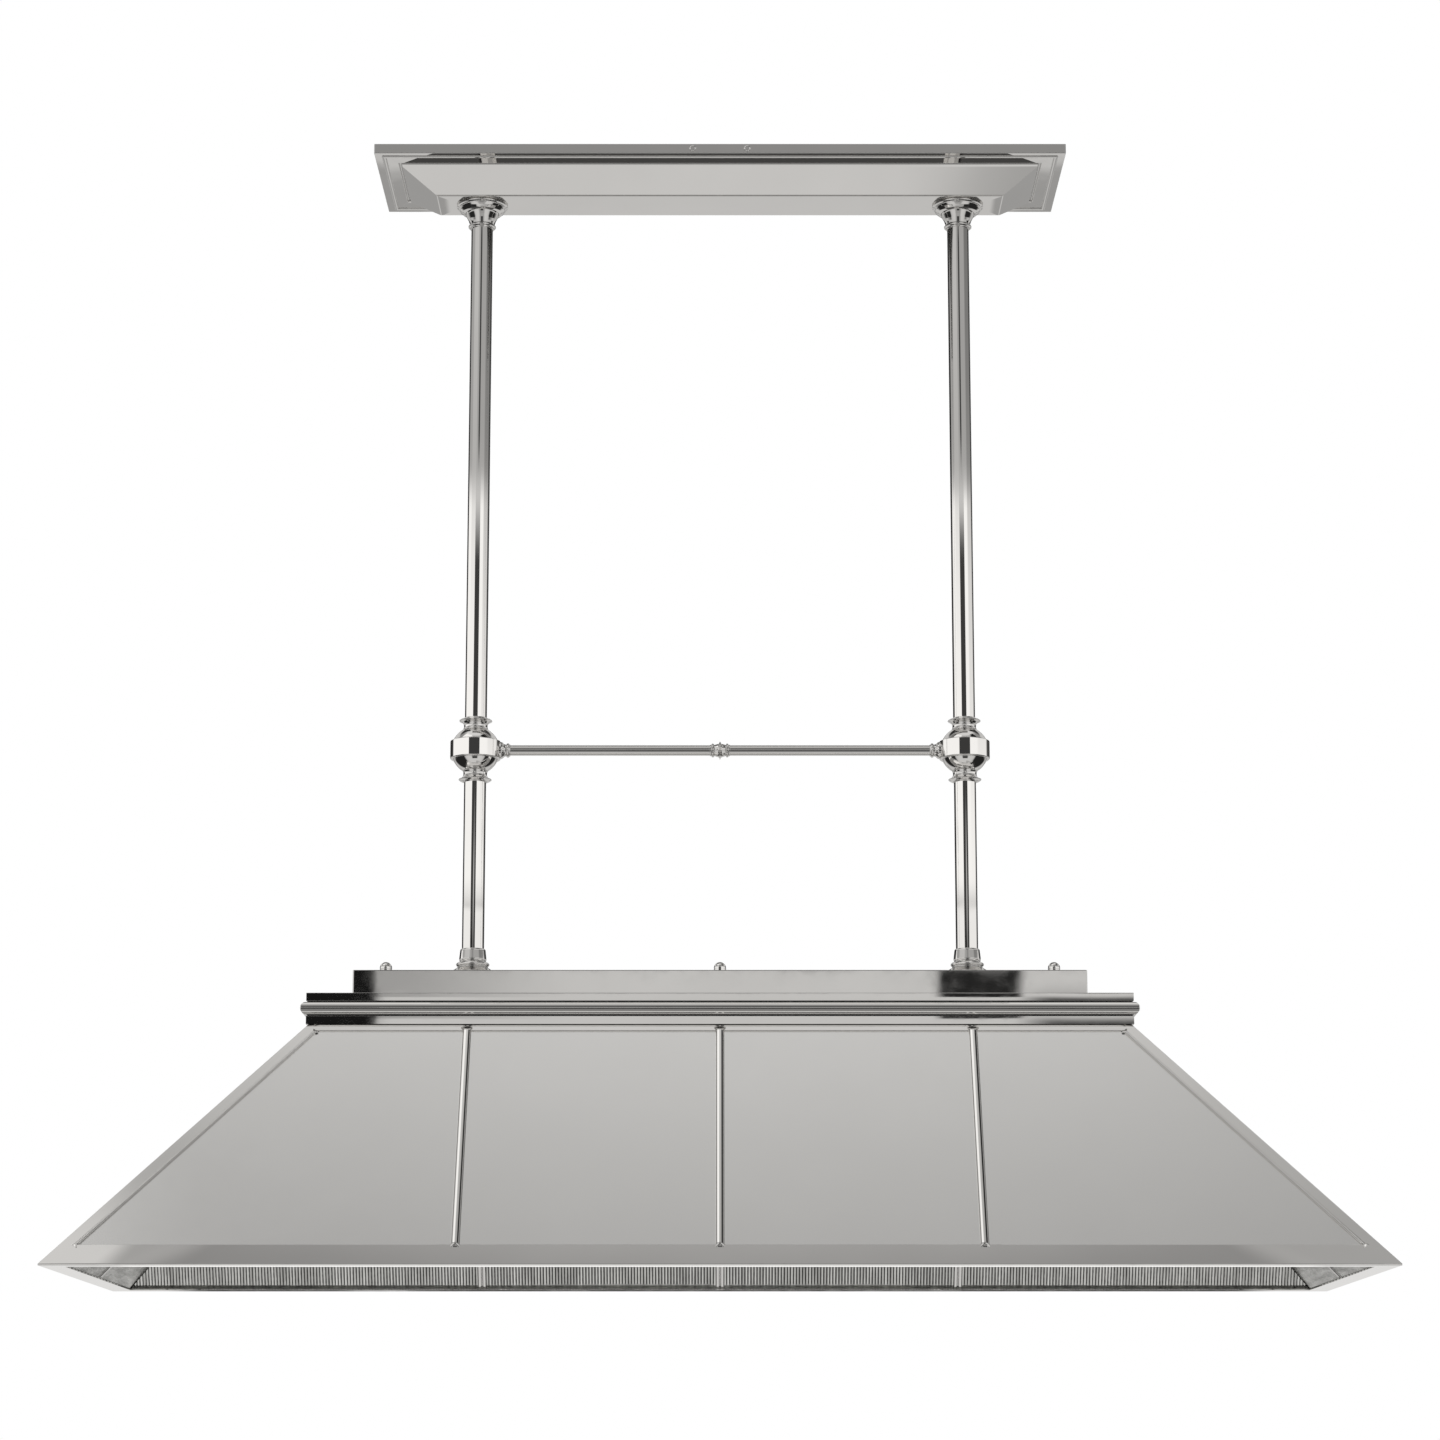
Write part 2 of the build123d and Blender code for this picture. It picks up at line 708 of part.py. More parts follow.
# ---------------------------------------------------------------- fixing rods and nuts
with BuildPart() as dome_nuts:
    for x in rod_places:
        with Locations((x, 0, z_plinth)):
            Cylinder(washer_radius, washer_height, align=(Align.CENTER, Align.CENTER, Align.MIN))
        shank = dome_height - dome_radius
        with Locations((x, 0, z_plinth)):
            Cylinder(dome_radius, shank, align=(Align.CENTER, Align.CENTER, Align.MIN))
        with Locations((x, 0, z_plinth + shank)):
            Sphere(dome_radius)
    with BuildSketch(Plane.XY.offset(z_plinth)):
        with Locations(*[(x, 0) for x in rod_places]):
            Circle(rod_radius + fit)
    extrude(amount=dome_height - dome_radius, mode=Mode.SUBTRACT)
write(dome_nuts.part, "dome_nuts")

rod_top = z_plinth + dome_height - dome_radius - rod_end_gap
rod_low = z_tray - tray_sheet - nut_height - rod_tail
with BuildPart() as tie_rods:
    with BuildSketch(Plane.XY.offset(rod_low)):
        with Locations(*[(x, 0) for x in rod_places]):
            Circle(rod_radius)
    extrude(amount=rod_top - rod_low)
write(tie_rods.part, "tie_rods")

with BuildPart() as tray_nuts:
    with BuildSketch(Plane.XY.offset(z_tray - tray_sheet)):
        with Locations(*[(x, 0) for x in rod_places]):
            RegularPolygon(tray_nut_radius, 6)
            Circle(rod_radius + fit, mode=Mode.SUBTRACT)
    extrude(amount=-nut_height)
write(tray_nuts.part, "tray_nuts")

# ---------------------------------------------------------------- shade frame
with BuildPart() as head_rail:
    add(shade_shell(0, frame_sheet, z_shade, z_head))
    with BuildSketch(Plane.XY.offset(z_shade)):
        Rectangle(head_length, head_depth)
        Rectangle(head_length - 2 * head_flange, head_depth - 2 * head_flange, mode=Mode.SUBTRACT)
    extrude(amount=-frame_sheet)
write(head_rail.part, "head_rail")

with BuildPart() as hip_bars:
    add(shade_shell(0, frame_sheet, z_head, z_band))
    head_x, head_y = shade_size(z_head, 0)
    band_x, band_y = shade_size(z_band, 0)
    for plane, top, low, border in (
        (Plane.XZ, head_x, band_x, hip_border),
        (Plane.YZ, head_y, band_y, hip_border_end),
    ):
        with BuildSketch(plane):
            with BuildLine():
                Polyline(
                    (-top / 2 + border, z_head),
                    (top / 2 - border, z_head),
                    (low / 2 - border, z_band),
                    (-low / 2 + border, z_band),
                    close=True,
                )
            make_face()
        extrude(amount=far, both=True, mode=Mode.SUBTRACT)

for name, sx, sy in (
    ("front_left", -1, -1),
    ("front_right", 1, -1),
    ("back_left", -1, 1),
    ("back_right", 1, 1),
):
    with BuildPart() as hip_rail:
        add(hip_bars.part)
        with Locations((sx * far / 2, sy * far / 2, z_rim)):
            Box(far, far, far, mode=Mode.INTERSECT)
    write(hip_rail.part, f"hip_rail_{name}")

with BuildPart() as rim:
    add(shade_shell(0, frame_sheet, z_band, z_rim))
    with BuildSketch(Plane.XY.offset(z_bottom)):
        Rectangle(shade_length, shade_depth)
        Rectangle(shade_length - 2 * rim_flange, shade_depth - 2 * rim_flange, mode=Mode.SUBTRACT)
    extrude(amount=rim_lip)

for side in ("front", "back", "left", "right"):
    with BuildPart() as rim_rail:
        add(rim.part)
        add(side_wedge(side), mode=Mode.INTERSECT)
    write(rim_rail.part, f"rim_rail_{side}")

# ---------------------------------------------------------------- outer panels and ribs
z_panel_low = z_rim + panel_clearance
panel_back = frame_sheet + panel_sheet
with BuildPart() as skin:
    add(shade_shell(frame_sheet, panel_back, z_tray, z_panel_low))

for side in ("front", "back", "left", "right"):
    with BuildPart() as panel:
        add(skin.part)
        add(side_wedge(side), mode=Mode.INTERSECT)
    write(panel.part, f"{side}_panel")

for name, face in (("front_ribs", -1), ("back_ribs", 1)):
    slope = Vector(0, face * run_y, -1).normalized()
    start = Vector(0, face * shade_size(z_head, frame_sheet)[1] / 2, z_head)
    reach = (z_head - z_band) * sqrt(1 + run_y**2)
    with BuildPart() as ribs:
        for x in rib_places:
            across = Vector(-face, 0, 0)
            foot = Plane(
                origin=start + Vector(x, 0, 0) - slope * rib_radius,
                x_dir=across,
                z_dir=slope,
            )
            with BuildSketch(foot):
                with BuildLine():
                    crown = CenterArc((0, 0), rib_radius, 0, 180)
                    Line(crown @ 1, crown @ 0)
                make_face()
            extrude(amount=reach + 2 * rib_radius)
        with Locations((0, 0, (z_head + z_band) / 2)):
            Box(far, far, z_head - z_band, mode=Mode.INTERSECT)
    write(ribs.part, name)

# ---------------------------------------------------------------- ribbed mirror glass and its bars
glass_face = panel_back + glass_standoff
glass_back = glass_face + glass_sheet
z_glass_top = z_tray - tray_sheet - glass_head_gap
with BuildPart() as lining:
    add(shade_shell(glass_face, glass_back, z_glass_top, z_panel_low))

for side in ("front", "back", "left", "right"):
    with BuildPart() as glass:
        add(lining.part)
        add(side_wedge(side), mode=Mode.INTERSECT)
        if side in ("front", "back"):
            with Locations(*[(x, 0, z_rim) for x in rib_places]):
                Box(glass_gap, far, far, mode=Mode.SUBTRACT)
        else:
            with Locations((0, 0, z_rim)):
                Box(far, glass_gap, far, mode=Mode.SUBTRACT)
    write(glass.part, f"ribbed_glass_{side}")

with BuildPart() as bar_zones:
    with Locations(*[(x, 0, z_rim) for x in rib_places]):
        Box(bar_width, shade_depth, far)
    for end in (-1, 1):
        with Locations((end * far / 4, 0, z_rim)):
            Box(far / 2 - 2 * (rib_spacing + bar_width), bar_width, far)

with BuildPart() as glazing_bars:
    add(shade_shell(glass_back, glass_back + bar_sheet, z_glass_top, z_panel_low))
    add(bar_zones.part, mode=Mode.INTERSECT)
write(glazing_bars.part, "glazing_bars")

# ---------------------------------------------------------------- lamp tray, lampholders and lamps
with BuildPart() as lamp_tray:
    with BuildSketch(Plane.XY.offset(z_tray)):
        Rectangle(
            head_length - 2 * (head_flange - tray_margin),
            head_depth - 2 * (head_flange - tray_margin),
        )
        with Locations(*[(x, 0) for x in rod_places]):
            Circle(rod_radius + rod_clearance, mode=Mode.SUBTRACT)
        with Locations(*[(x, 0) for x in lamp_places]):
            Circle(wire_bore_radius, mode=Mode.SUBTRACT)
    extrude(amount=-tray_sheet)
write(lamp_tray.part, "lamp_tray")

z_holder = z_tray - tray_sheet
z_holder_low = z_holder - holder_height
z_well = z_holder_low + holder_well
z_flange_low = z_holder - holder_flange_height
with BuildPart() as lampholders:
    for x in lamp_places:
        add(
            turned(
                x,
                [
                    (wire_bore_radius, z_holder),
                    (holder_radius + holder_flange, z_holder),
                    (holder_radius + holder_flange, z_flange_low),
                    (holder_radius, z_flange_low - holder_taper),
                    (holder_radius - holder_taper, z_holder_low),
                    (lamp_neck_radius + lamp_seat, z_holder_low),
                    (lamp_neck_radius + lamp_seat, z_well),
                    (wire_bore_radius, z_well),
                ],
            )
        )
write(lampholders.part, "lampholders")

globe_z = z_holder_low - lamp_length + lamp_radius
z_cap = z_holder_low + lamp_cap_height
with BuildPart() as lamps:
    for x in lamp_places:
        with BuildSketch(lathe_plane(x)):
            with BuildLine():
                globe = CenterArc((0, globe_z), lamp_radius, -90, globe_arc)
                throat = (lamp_neck_radius, z_holder_low)
                neck = Spline(globe @ 1, throat, tangents=(globe % 1, (0, 1)))
                Polyline(
                    neck @ 1,
                    (lamp_neck_radius, z_cap),
                    (0, z_cap),
                    (0, globe_z - lamp_radius),
                )
            make_face()
        revolve(axis=stem_axis(x))
write(lamps.part, "lamps")
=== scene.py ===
import json
from math import asin, cos, degrees, pi, radians, sin, sqrt

import bmesh
import bpy
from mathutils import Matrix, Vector


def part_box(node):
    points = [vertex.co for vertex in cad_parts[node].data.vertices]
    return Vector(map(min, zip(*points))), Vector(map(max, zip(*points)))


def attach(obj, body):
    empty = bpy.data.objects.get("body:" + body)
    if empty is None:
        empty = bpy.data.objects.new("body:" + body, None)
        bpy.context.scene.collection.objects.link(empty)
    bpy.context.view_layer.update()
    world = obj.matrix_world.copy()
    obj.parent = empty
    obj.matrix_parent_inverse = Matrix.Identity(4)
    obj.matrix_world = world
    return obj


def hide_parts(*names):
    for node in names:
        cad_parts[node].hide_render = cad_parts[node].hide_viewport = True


# A linear pendant light with a hood-shaped shade: polished nickel outside, ribbed mirror glass inside.
# Metres, in the frame of the CAD model: Z = 0 is the ceiling, X runs along the shade, the front is -Y.

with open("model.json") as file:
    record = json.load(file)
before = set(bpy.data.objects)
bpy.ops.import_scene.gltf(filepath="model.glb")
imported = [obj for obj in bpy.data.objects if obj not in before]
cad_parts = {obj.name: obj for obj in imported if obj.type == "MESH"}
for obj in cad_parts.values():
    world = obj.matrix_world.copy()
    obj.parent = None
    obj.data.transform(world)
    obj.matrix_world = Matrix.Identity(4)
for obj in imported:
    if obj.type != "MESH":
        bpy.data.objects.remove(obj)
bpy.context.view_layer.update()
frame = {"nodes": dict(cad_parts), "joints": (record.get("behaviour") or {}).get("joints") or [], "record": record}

MM = 0.001
SIDES = ("left", "right")
FACES = ("front", "back", "left", "right")
LATHE_STEPS = 96
HOLE_STEPS = 48
CORNER_STEPS = 5
SHARP_ANGLE = radians(40)


# ------------------------------------------------------------------ places read from the frame
def centre(node):
    low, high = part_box(node)
    return (low + high) / 2


def size(node):
    low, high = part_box(node)
    return high - low


def top(node):
    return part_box(node)[1].z


def bottom(node):
    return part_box(node)[0].z


STEM_X = {side: centre(f"upper_stem_{side}").x for side in SIDES}
STEM_RADIUS = size("upper_stem_left").x / 2
STEM_BORE = STEM_RADIUS - 2 * MM
FIT = 0.05 * MM  # clearance of a stem or bar in its socket
SOCKET_RADIUS = STEM_RADIUS + FIT
NECK_RADIUS = STEM_RADIUS + 1.85 * MM
WIRE_BORE = 6 * MM
ROD_HOLE = 3.3 * MM
HUB_Z = centre("hub_ball_left").z
BELT_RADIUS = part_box("hub_ball_left")[1].x - STEM_X["left"]
BAR_RADIUS = size("crossbar_left").z / 2
SWING_Z = frame["joints"][0]["pos_m"][2]

SHEET = 2 * MM
SHADE_TOP = top("head_rail")
SHADE_BOTTOM = bottom("rim_rail_front")
RIM_Z = SHADE_BOTTOM + SHEET
RIM_X, RIM_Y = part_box("rim_rail_right")[1].x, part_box("rim_rail_back")[1].y
HEAD_Z = top("hip_rail_front_left")
BAND_Z = bottom("hip_rail_front_left")
RUN_X = (RIM_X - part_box("hip_rail_back_right")[1].x) / (BAND_Z - RIM_Z)
RUN_Y = (RIM_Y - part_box("hip_rail_back_right")[1].y) / (BAND_Z - RIM_Z)
HIP_BORDER = 16 * MM
HIP_BORDER_END = 12 * MM
HEAD_TOP_X = RIM_X - RUN_X * (SHADE_TOP - RIM_Z)
HEAD_TOP_Y = RIM_Y - RUN_Y * (SHADE_TOP - RIM_Z)


# ------------------------------------------------------------------ mesh helpers
def eased(points, length, closed=False, steps=3):
    """The same outline with each corner rounded over this length of its two runs."""
    points = [Vector(p) for p in points]
    count = len(points)
    smooth = []
    for k, point in enumerate(points):
        if not closed and k in (0, count - 1):
            smooth.append(point)
            continue
        before, after = points[k - 1], points[(k + 1) % count]
        start = point.lerp(before, min(0.45, length / max((before - point).length, length)))
        end = point.lerp(after, min(0.45, length / max((after - point).length, length)))
        for step in range(steps + 1):
            t = step / steps
            smooth.append(start * (1 - t) ** 2 + point * 2 * t * (1 - t) + end * t * t)
    return smooth


def arc(middle, radius, start, end, steps=12):
    """Points of an arc in the plane of a profile, angles in degrees."""
    turn = [radians(start + (end - start) * k / steps) for k in range(steps + 1)]
    return [(middle[0] + radius * cos(a), middle[1] + radius * sin(a)) for a in turn]


def ring_angles(steps):
    return [2 * pi * k / steps for k in range(steps)]


def skin_rings(rings, closed_loop):
    """Points and faces that join rings of equal length, with the ends capped if the loop is open."""
    count = len(rings[0])
    points = [p for ring in rings for p in ring]
    faces = []
    pairs = range(len(rings)) if closed_loop else range(len(rings) - 1)
    for k in pairs:
        a, b = k * count, ((k + 1) % len(rings)) * count
        for j in range(count):
            nxt = (j + 1) % count
            faces.append((a + j, a + nxt, b + nxt, b + j))
    if not closed_loop:
        last = (len(rings) - 1) * count
        faces.append(tuple(reversed(range(count))))
        faces.append(tuple(range(last, last + count)))
    return points, faces


def mesh_object(name, points, faces, sharp=SHARP_ANGLE):
    """A welded, smooth-shaded mesh whose sharp edges stay crisp."""
    mesh = bpy.data.meshes.new(name)
    mesh.from_pydata([tuple(p) for p in points], [], faces)
    work = bmesh.new()
    work.from_mesh(mesh)
    bmesh.ops.remove_doubles(work, verts=work.verts, dist=2e-6)
    bmesh.ops.dissolve_degenerate(work, edges=work.edges, dist=1e-6)
    bmesh.ops.recalc_face_normals(work, faces=work.faces)
    for face in work.faces:
        face.smooth = True
    for edge in work.edges:
        edge.smooth = len(edge.link_faces) == 2 and edge.calc_face_angle(0) < sharp
    work.to_mesh(mesh)
    work.free()
    piece = bpy.data.objects.new(name, mesh)
    bpy.context.scene.collection.objects.link(piece)
    return piece


def apply_modifiers(piece):
    depsgraph = bpy.context.evaluated_depsgraph_get()
    mesh = bpy.data.meshes.new_from_object(piece.evaluated_get(depsgraph))
    piece.modifiers.clear()
    piece.data = mesh


def flattened(piece):
    """Keeps broad faces optically flat beside their rounded edges."""
    weight = piece.modifiers.new("flat_faces", "WEIGHTED_NORMAL")
    weight.weight = 100
    weight.keep_sharp = True


def bevelled(piece, width, segments=2, angle=20):
    bevel = piece.modifiers.new("soft_edges", "BEVEL")
    bevel.width = width
    bevel.segments = segments
    bevel.limit_method = "ANGLE"
    bevel.angle_limit = radians(angle)
    return piece


def finished(piece, body, slot, *nodes):
    """Gives a piece its slot's material and its body, keeps its broad faces flat, and hides the nodes that it
    stands for.
    """
    piece.data.materials.clear()
    piece.data.materials.append(SLOT_MATERIALS[slot])
    flattened(piece)
    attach(piece, body)
    if nodes:
        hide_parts(*nodes)
    return piece


def turned_z(name, x, outline, ease=0.5 * MM):
    """A closed (radius, z) outline turned about a stem's axis."""
    profile = eased(outline, ease, closed=True)
    rings = [
        [Vector((x + p.x * cos(a), p.x * sin(a), p.y)) for p in profile]
        for a in ring_angles(LATHE_STEPS)
    ]
    return mesh_object(name, *skin_rings(rings, True))


def turned_x(name, z, outline, ease=0.4 * MM):
    """A closed (x, radius) outline turned about the crossbar's axis."""
    profile = eased(outline, ease, closed=True)
    rings = [
        [Vector((p.x, p.y * cos(a), z + p.y * sin(a))) for p in profile]
        for a in ring_angles(LATHE_STEPS)
    ]
    return mesh_object(name, *skin_rings(rings, True))


def joined(name, pieces):
    """One object made of several separate solids."""
    work = bmesh.new()
    for piece in pieces:
        work.from_mesh(piece.data)
    mesh = bpy.data.meshes.new(name)
    work.to_mesh(mesh)
    work.free()
    for piece in pieces:
        bpy.data.objects.remove(piece)
    whole = bpy.data.objects.new(name, mesh)
    bpy.context.scene.collection.objects.link(whole)
    return whole


def level_ring(half_x, half_y, z, radius):
    """Points round a level rectangle with rounded corners."""
    ring = []
    for quarter, (sx, sy) in enumerate(((1, 1), (-1, 1), (-1, -1), (1, -1))):
        for step in range(CORNER_STEPS + 1):
            a = pi / 2 * (quarter + step / CORNER_STEPS)
            x = sx * (half_x - radius) + radius * cos(a)
            y = sy * (half_y - radius) + radius * sin(a)
            ring.append(Vector((x, y, z)))
    return ring


def level_rings(profile, corner):
    """Rings for (half length, half depth, z) steps; corners widen as the profile stands out."""
    reach = max(p.x for p in profile)
    return [level_ring(p.x, p.y, p.z, max(corner - (reach - p.x), 0.05 * MM)) for p in profile]


def drill(piece, holes, low, high):
    """Cuts round upright holes, each (x, y, radius), through a piece."""
    cutters = []
    for x, y, radius in holes:
        rings = [
            [Vector((x + radius * cos(a), y + radius * sin(a), z)) for a in ring_angles(HOLE_STEPS)]
            for z in (low, high)
        ]
        cutters.append(mesh_object("cutter", *skin_rings(rings, False)))
    cutter = joined("cutter", cutters)
    cut = piece.modifiers.new("holes", "BOOLEAN")
    cut.operation = "DIFFERENCE"
    cut.solver = "EXACT"
    cut.object = cutter
    apply_modifiers(piece)
    bpy.data.objects.remove(cutter)


# ------------------------------------------------------------------ material helpers
def new_material(name):
    material = bpy.data.materials.new(name)
    material.use_nodes = True
    nodes = material.node_tree.nodes
    return material, nodes, material.node_tree.links, nodes["Principled BSDF"]


def noise(nodes, links, scale, detail=3.0, stretch=(1, 1, 1)):
    """Noise in the object's own metres, stretched along its axes."""
    coords = nodes.new("ShaderNodeTexCoord")
    mapping = nodes.new("ShaderNodeMapping")
    mapping.inputs["Scale"].default_value = stretch
    texture = nodes.new("ShaderNodeTexNoise")
    texture.inputs["Scale"].default_value = scale
    texture.inputs["Detail"].default_value = detail
    links.new(coords.outputs["Object"], mapping.inputs["Vector"])
    links.new(mapping.outputs["Vector"], texture.inputs["Vector"])
    return texture.outputs["Fac"]


def spread(nodes, links, value, low, high):
    """A value from 0.3 to 0.7 mapped to this range."""
    ramp = nodes.new("ShaderNodeMapRange")
    ramp.inputs["From Min"].default_value = 0.3
    ramp.inputs["From Max"].default_value = 0.7
    ramp.inputs["To Min"].default_value = low
    ramp.inputs["To Max"].default_value = high
    links.new(value, ramp.inputs["Value"])
    return ramp.outputs["Result"]


def two_tones(nodes, links, value, first, second):
    mix = nodes.new("ShaderNodeMix")
    mix.data_type = "RGBA"
    mix.inputs["A"].default_value = (*first, 1)
    mix.inputs["B"].default_value = (*second, 1)
    links.new(spread(nodes, links, value, 0, 1), mix.inputs["Factor"])
    return mix.outputs["Result"]


def bump(nodes, links, shader, value, distance, strength=1.0):
    node = nodes.new("ShaderNodeBump")
    node.inputs["Distance"].default_value = distance
    node.inputs["Strength"].default_value = strength
    links.new(value, node.inputs["Height"])
    links.new(node.outputs["Normal"], shader.inputs["Normal"])


def painted_crease_shade(nodes, links, tone, reach, depth):
    """Painted shade: the tone darkened towards near black in grooves and joints, where nearby surfaces close in.
    """
    crease = nodes.new("ShaderNodeAmbientOcclusion")
    crease.samples = 6
    crease.only_local = True
    crease.inputs["Distance"].default_value = reach
    open_share = nodes.new("ShaderNodeMapRange")
    open_share.interpolation_type = "SMOOTHSTEP"
    open_share.inputs["From Min"].default_value = 0.45
    open_share.inputs["From Max"].default_value = 0.85
    open_share.inputs["To Min"].default_value = depth
    open_share.inputs["To Max"].default_value = 1.0
    links.new(crease.outputs["AO"], open_share.inputs["Value"])
    mix = nodes.new("ShaderNodeMix")
    mix.data_type = "RGBA"
    # near-black colour of the painted shade
    mix.inputs["A"].default_value = (0.02, 0.018, 0.016, 1)
    links.new(open_share.outputs["Result"], mix.inputs["Factor"])
    links.new(tone, mix.inputs["B"])
    return mix.outputs["Result"]


def metal(name, tones, rough, wave, wave_scale, stretch=(1, 1, 1), crease=0.0):
    """Plated metal: faint changes of tone, polish that varies, and the slight waves of the sheet; with a crease
    reach, painted shade darkens its grooves and joints.
    """
    material, nodes, links, shader = new_material(name)
    shader.inputs["Metallic"].default_value = 1.0
    tone = two_tones(nodes, links, noise(nodes, links, 9.0, 2.0), *tones)
    if crease:
        # painted shade: base colour darkened in creases within the crease reach
        tone = painted_crease_shade(nodes, links, tone, crease, 0.04)
    links.new(tone, shader.inputs["Base Color"])
    wear = noise(nodes, links, 60.0, 4.0, stretch)
    links.new(spread(nodes, links, wear, *rough), shader.inputs["Roughness"])
    bump(nodes, links, shader, noise(nodes, links, wave_scale, 1.0, stretch), wave)
    return material


def silvered(name, tones, rough):
    """Mirror glass: bright on the reeds, painted shade darkening the grooves, and streaks down the reeds."""
    material, nodes, links, shader = new_material(name)
    shader.inputs["Metallic"].default_value = 1.0
    tone = two_tones(nodes, links, noise(nodes, links, 9.0, 2.0), *tones)
    streak = noise(nodes, links, 170.0, 4.0, (1.0, 0.08, 0.08))
    shade = two_tones(nodes, links, streak, (0.10, 0.10, 0.09), (1.0, 1.0, 1.0))
    mix = nodes.new("ShaderNodeMix")
    mix.data_type = "RGBA"
    mix.blend_type = "MULTIPLY"
    mix.inputs["Factor"].default_value = 0.55
    links.new(tone, mix.inputs["A"])
    links.new(shade, mix.inputs["B"])
    # painted shade: the grooves between the reeds darkened where the glass closes in
    painted_groove_shade = painted_crease_shade(nodes, links, mix.outputs["Result"], 1.2 * MM, 0.25)
    links.new(painted_groove_shade, shader.inputs["Base Color"])
    links.new(spread(nodes, links, noise(nodes, links, 60.0, 4.0), *rough), shader.inputs["Roughness"])
    bump(nodes, links, shader, noise(nodes, links, 120.0, 1.0), 0.0002)
    return material


def dull(name, tones, rough, grain, grain_scale, coat=0.0):
    """Enamel, plastic, rubber or porcelain."""
    material, nodes, links, shader = new_material(name)
    shader.inputs["Coat Weight"].default_value = coat
    shader.inputs["Coat Roughness"].default_value = 0.08
    cloud = noise(nodes, links, 25.0, 3.0)
    links.new(two_tones(nodes, links, cloud, *tones), shader.inputs["Base Color"])
    links.new(spread(nodes, links, noise(nodes, links, 90.0), *rough), shader.inputs["Roughness"])
    bump(nodes, links, shader, noise(nodes, links, grain_scale, 2.0), grain)
    return material


NICKEL_TONES = ((0.81, 0.80, 0.785), (0.84, 0.83, 0.815))
PANEL_TONES = ((0.815, 0.81, 0.80), (0.83, 0.825, 0.815))
GLASS_TONES = ((0.84, 0.84, 0.82), (0.92, 0.92, 0.90))
ZINC_TONES = ((0.52, 0.53, 0.54), (0.66, 0.66, 0.64))
GREEN_TONES = ((0.05, 0.30, 0.10), (0.09, 0.42, 0.16))
PLASTIC_TONES = ((0.80, 0.79, 0.75), (0.86, 0.85, 0.81))
RUBBER_TONES = ((0.02, 0.02, 0.02), (0.04, 0.04, 0.04))
ENAMEL_TONES = ((0.84, 0.84, 0.81), (0.89, 0.89, 0.87))
PORCELAIN_TONES = ((0.86, 0.85, 0.80), (0.92, 0.91, 0.88))
LAMP_TONES = ((0.90, 0.88, 0.83), (0.95, 0.94, 0.90))
SLOT_MATERIALS = {
    "polished_nickel": metal(
        "polished_nickel", NICKEL_TONES, (0.01, 0.03), 0.0001, 7.0, crease=3.0 * MM
    ),
    "panel_nickel": metal("panel_nickel", PANEL_TONES, (0.12, 0.135), 0.00003, 3.0),
    "mirror_glass": silvered("mirror_glass", GLASS_TONES, (0.02, 0.05)),
    "zinc_steel": metal("zinc_steel", ZINC_TONES, (0.30, 0.50), 0.00003, 400.0),
    "green_screw": metal("green_screw", GREEN_TONES, (0.28, 0.42), 0.00003, 500.0),
    "block_plastic": dull("block_plastic", PLASTIC_TONES, (0.40, 0.55), 0.00003, 900.0),
    "wire_insulation": dull("wire_insulation", RUBBER_TONES, (0.45, 0.6), 0.00004, 700.0),
    "white_enamel": dull("white_enamel", ENAMEL_TONES, (0.25, 0.38), 0.00005, 160.0, 0.6),
    "porcelain": dull("porcelain", PORCELAIN_TONES, (0.2, 0.3), 0.00006, 90.0, 0.8),
    "lamp_glass": dull("lamp_glass", LAMP_TONES, (0.12, 0.2), 0.00004, 60.0, 0.7),
}


def keep(*nodes):
    """CAD nodes that stay as they are, each with the material of its slot."""
    slots = {row["node"]: row["material_slot"] for row in frame["record"]["subparts"]}
    for node in nodes:
        piece = frame["nodes"][node]
        piece.data.materials.clear()
        piece.data.materials.append(SLOT_MATERIALS[slots[node]])


def nickel(piece, body, *nodes):
    return finished(piece, body, "polished_nickel", *nodes)


# ------------------------------------------------------------------ canopy
def canopy():
    """Pressed pan: a lip, a flange with a raised bead and a quirk, and a sloping body."""
    half = size("canopy_pan") / 2
    low = bottom("canopy_pan")
    lip = 12 * MM
    sheet = 2 * MM

    def at(end_inset, side_inset, z):
        return (half.x - end_inset * MM, half.y - side_inset * MM, z)

    outside = [
        at(0, 0, 0),
        at(0, 0, -lip),
        at(9, 9, -lip),
        at(9.6, 9.6, -lip - 1.2 * MM),
        at(11.4, 11.4, -lip - 1.6 * MM),
        at(13.2, 13.2, -lip - 1.2 * MM),
        at(13.8, 13.8, -lip),
        at(27, 33, -lip),
        at(28, 34.5, -lip + 1.7 * MM),
        at(30.5, 37.5, -lip + 1.7 * MM),
        at(32, 40, -lip - 2.5 * MM),
    ]
    foot = [at(32, 40, -lip - 2.5 * MM), at(73, 68, low), at(90, 85, low)]
    inside = [
        at(74, 69, low + sheet),
        at(33, 42, -lip + 2 * sheet),
        at(2, 2, -lip + sheet),
        at(2, 2, 0),
    ]
    profile = eased(inside, 0.6 * MM) + eased(outside, 0.6 * MM)[:-1] + eased(foot, 3.0 * MM)
    pan = mesh_object("canopy", *skin_rings(level_rings(profile, 1.0 * MM), False))
    shank = 24.55 * MM
    drill(pan, [(x, 0, shank) for x in STEM_X.values()], low - MM, low + 10 * MM)
    nickel(pan, "ceiling_mount", "canopy_pan")


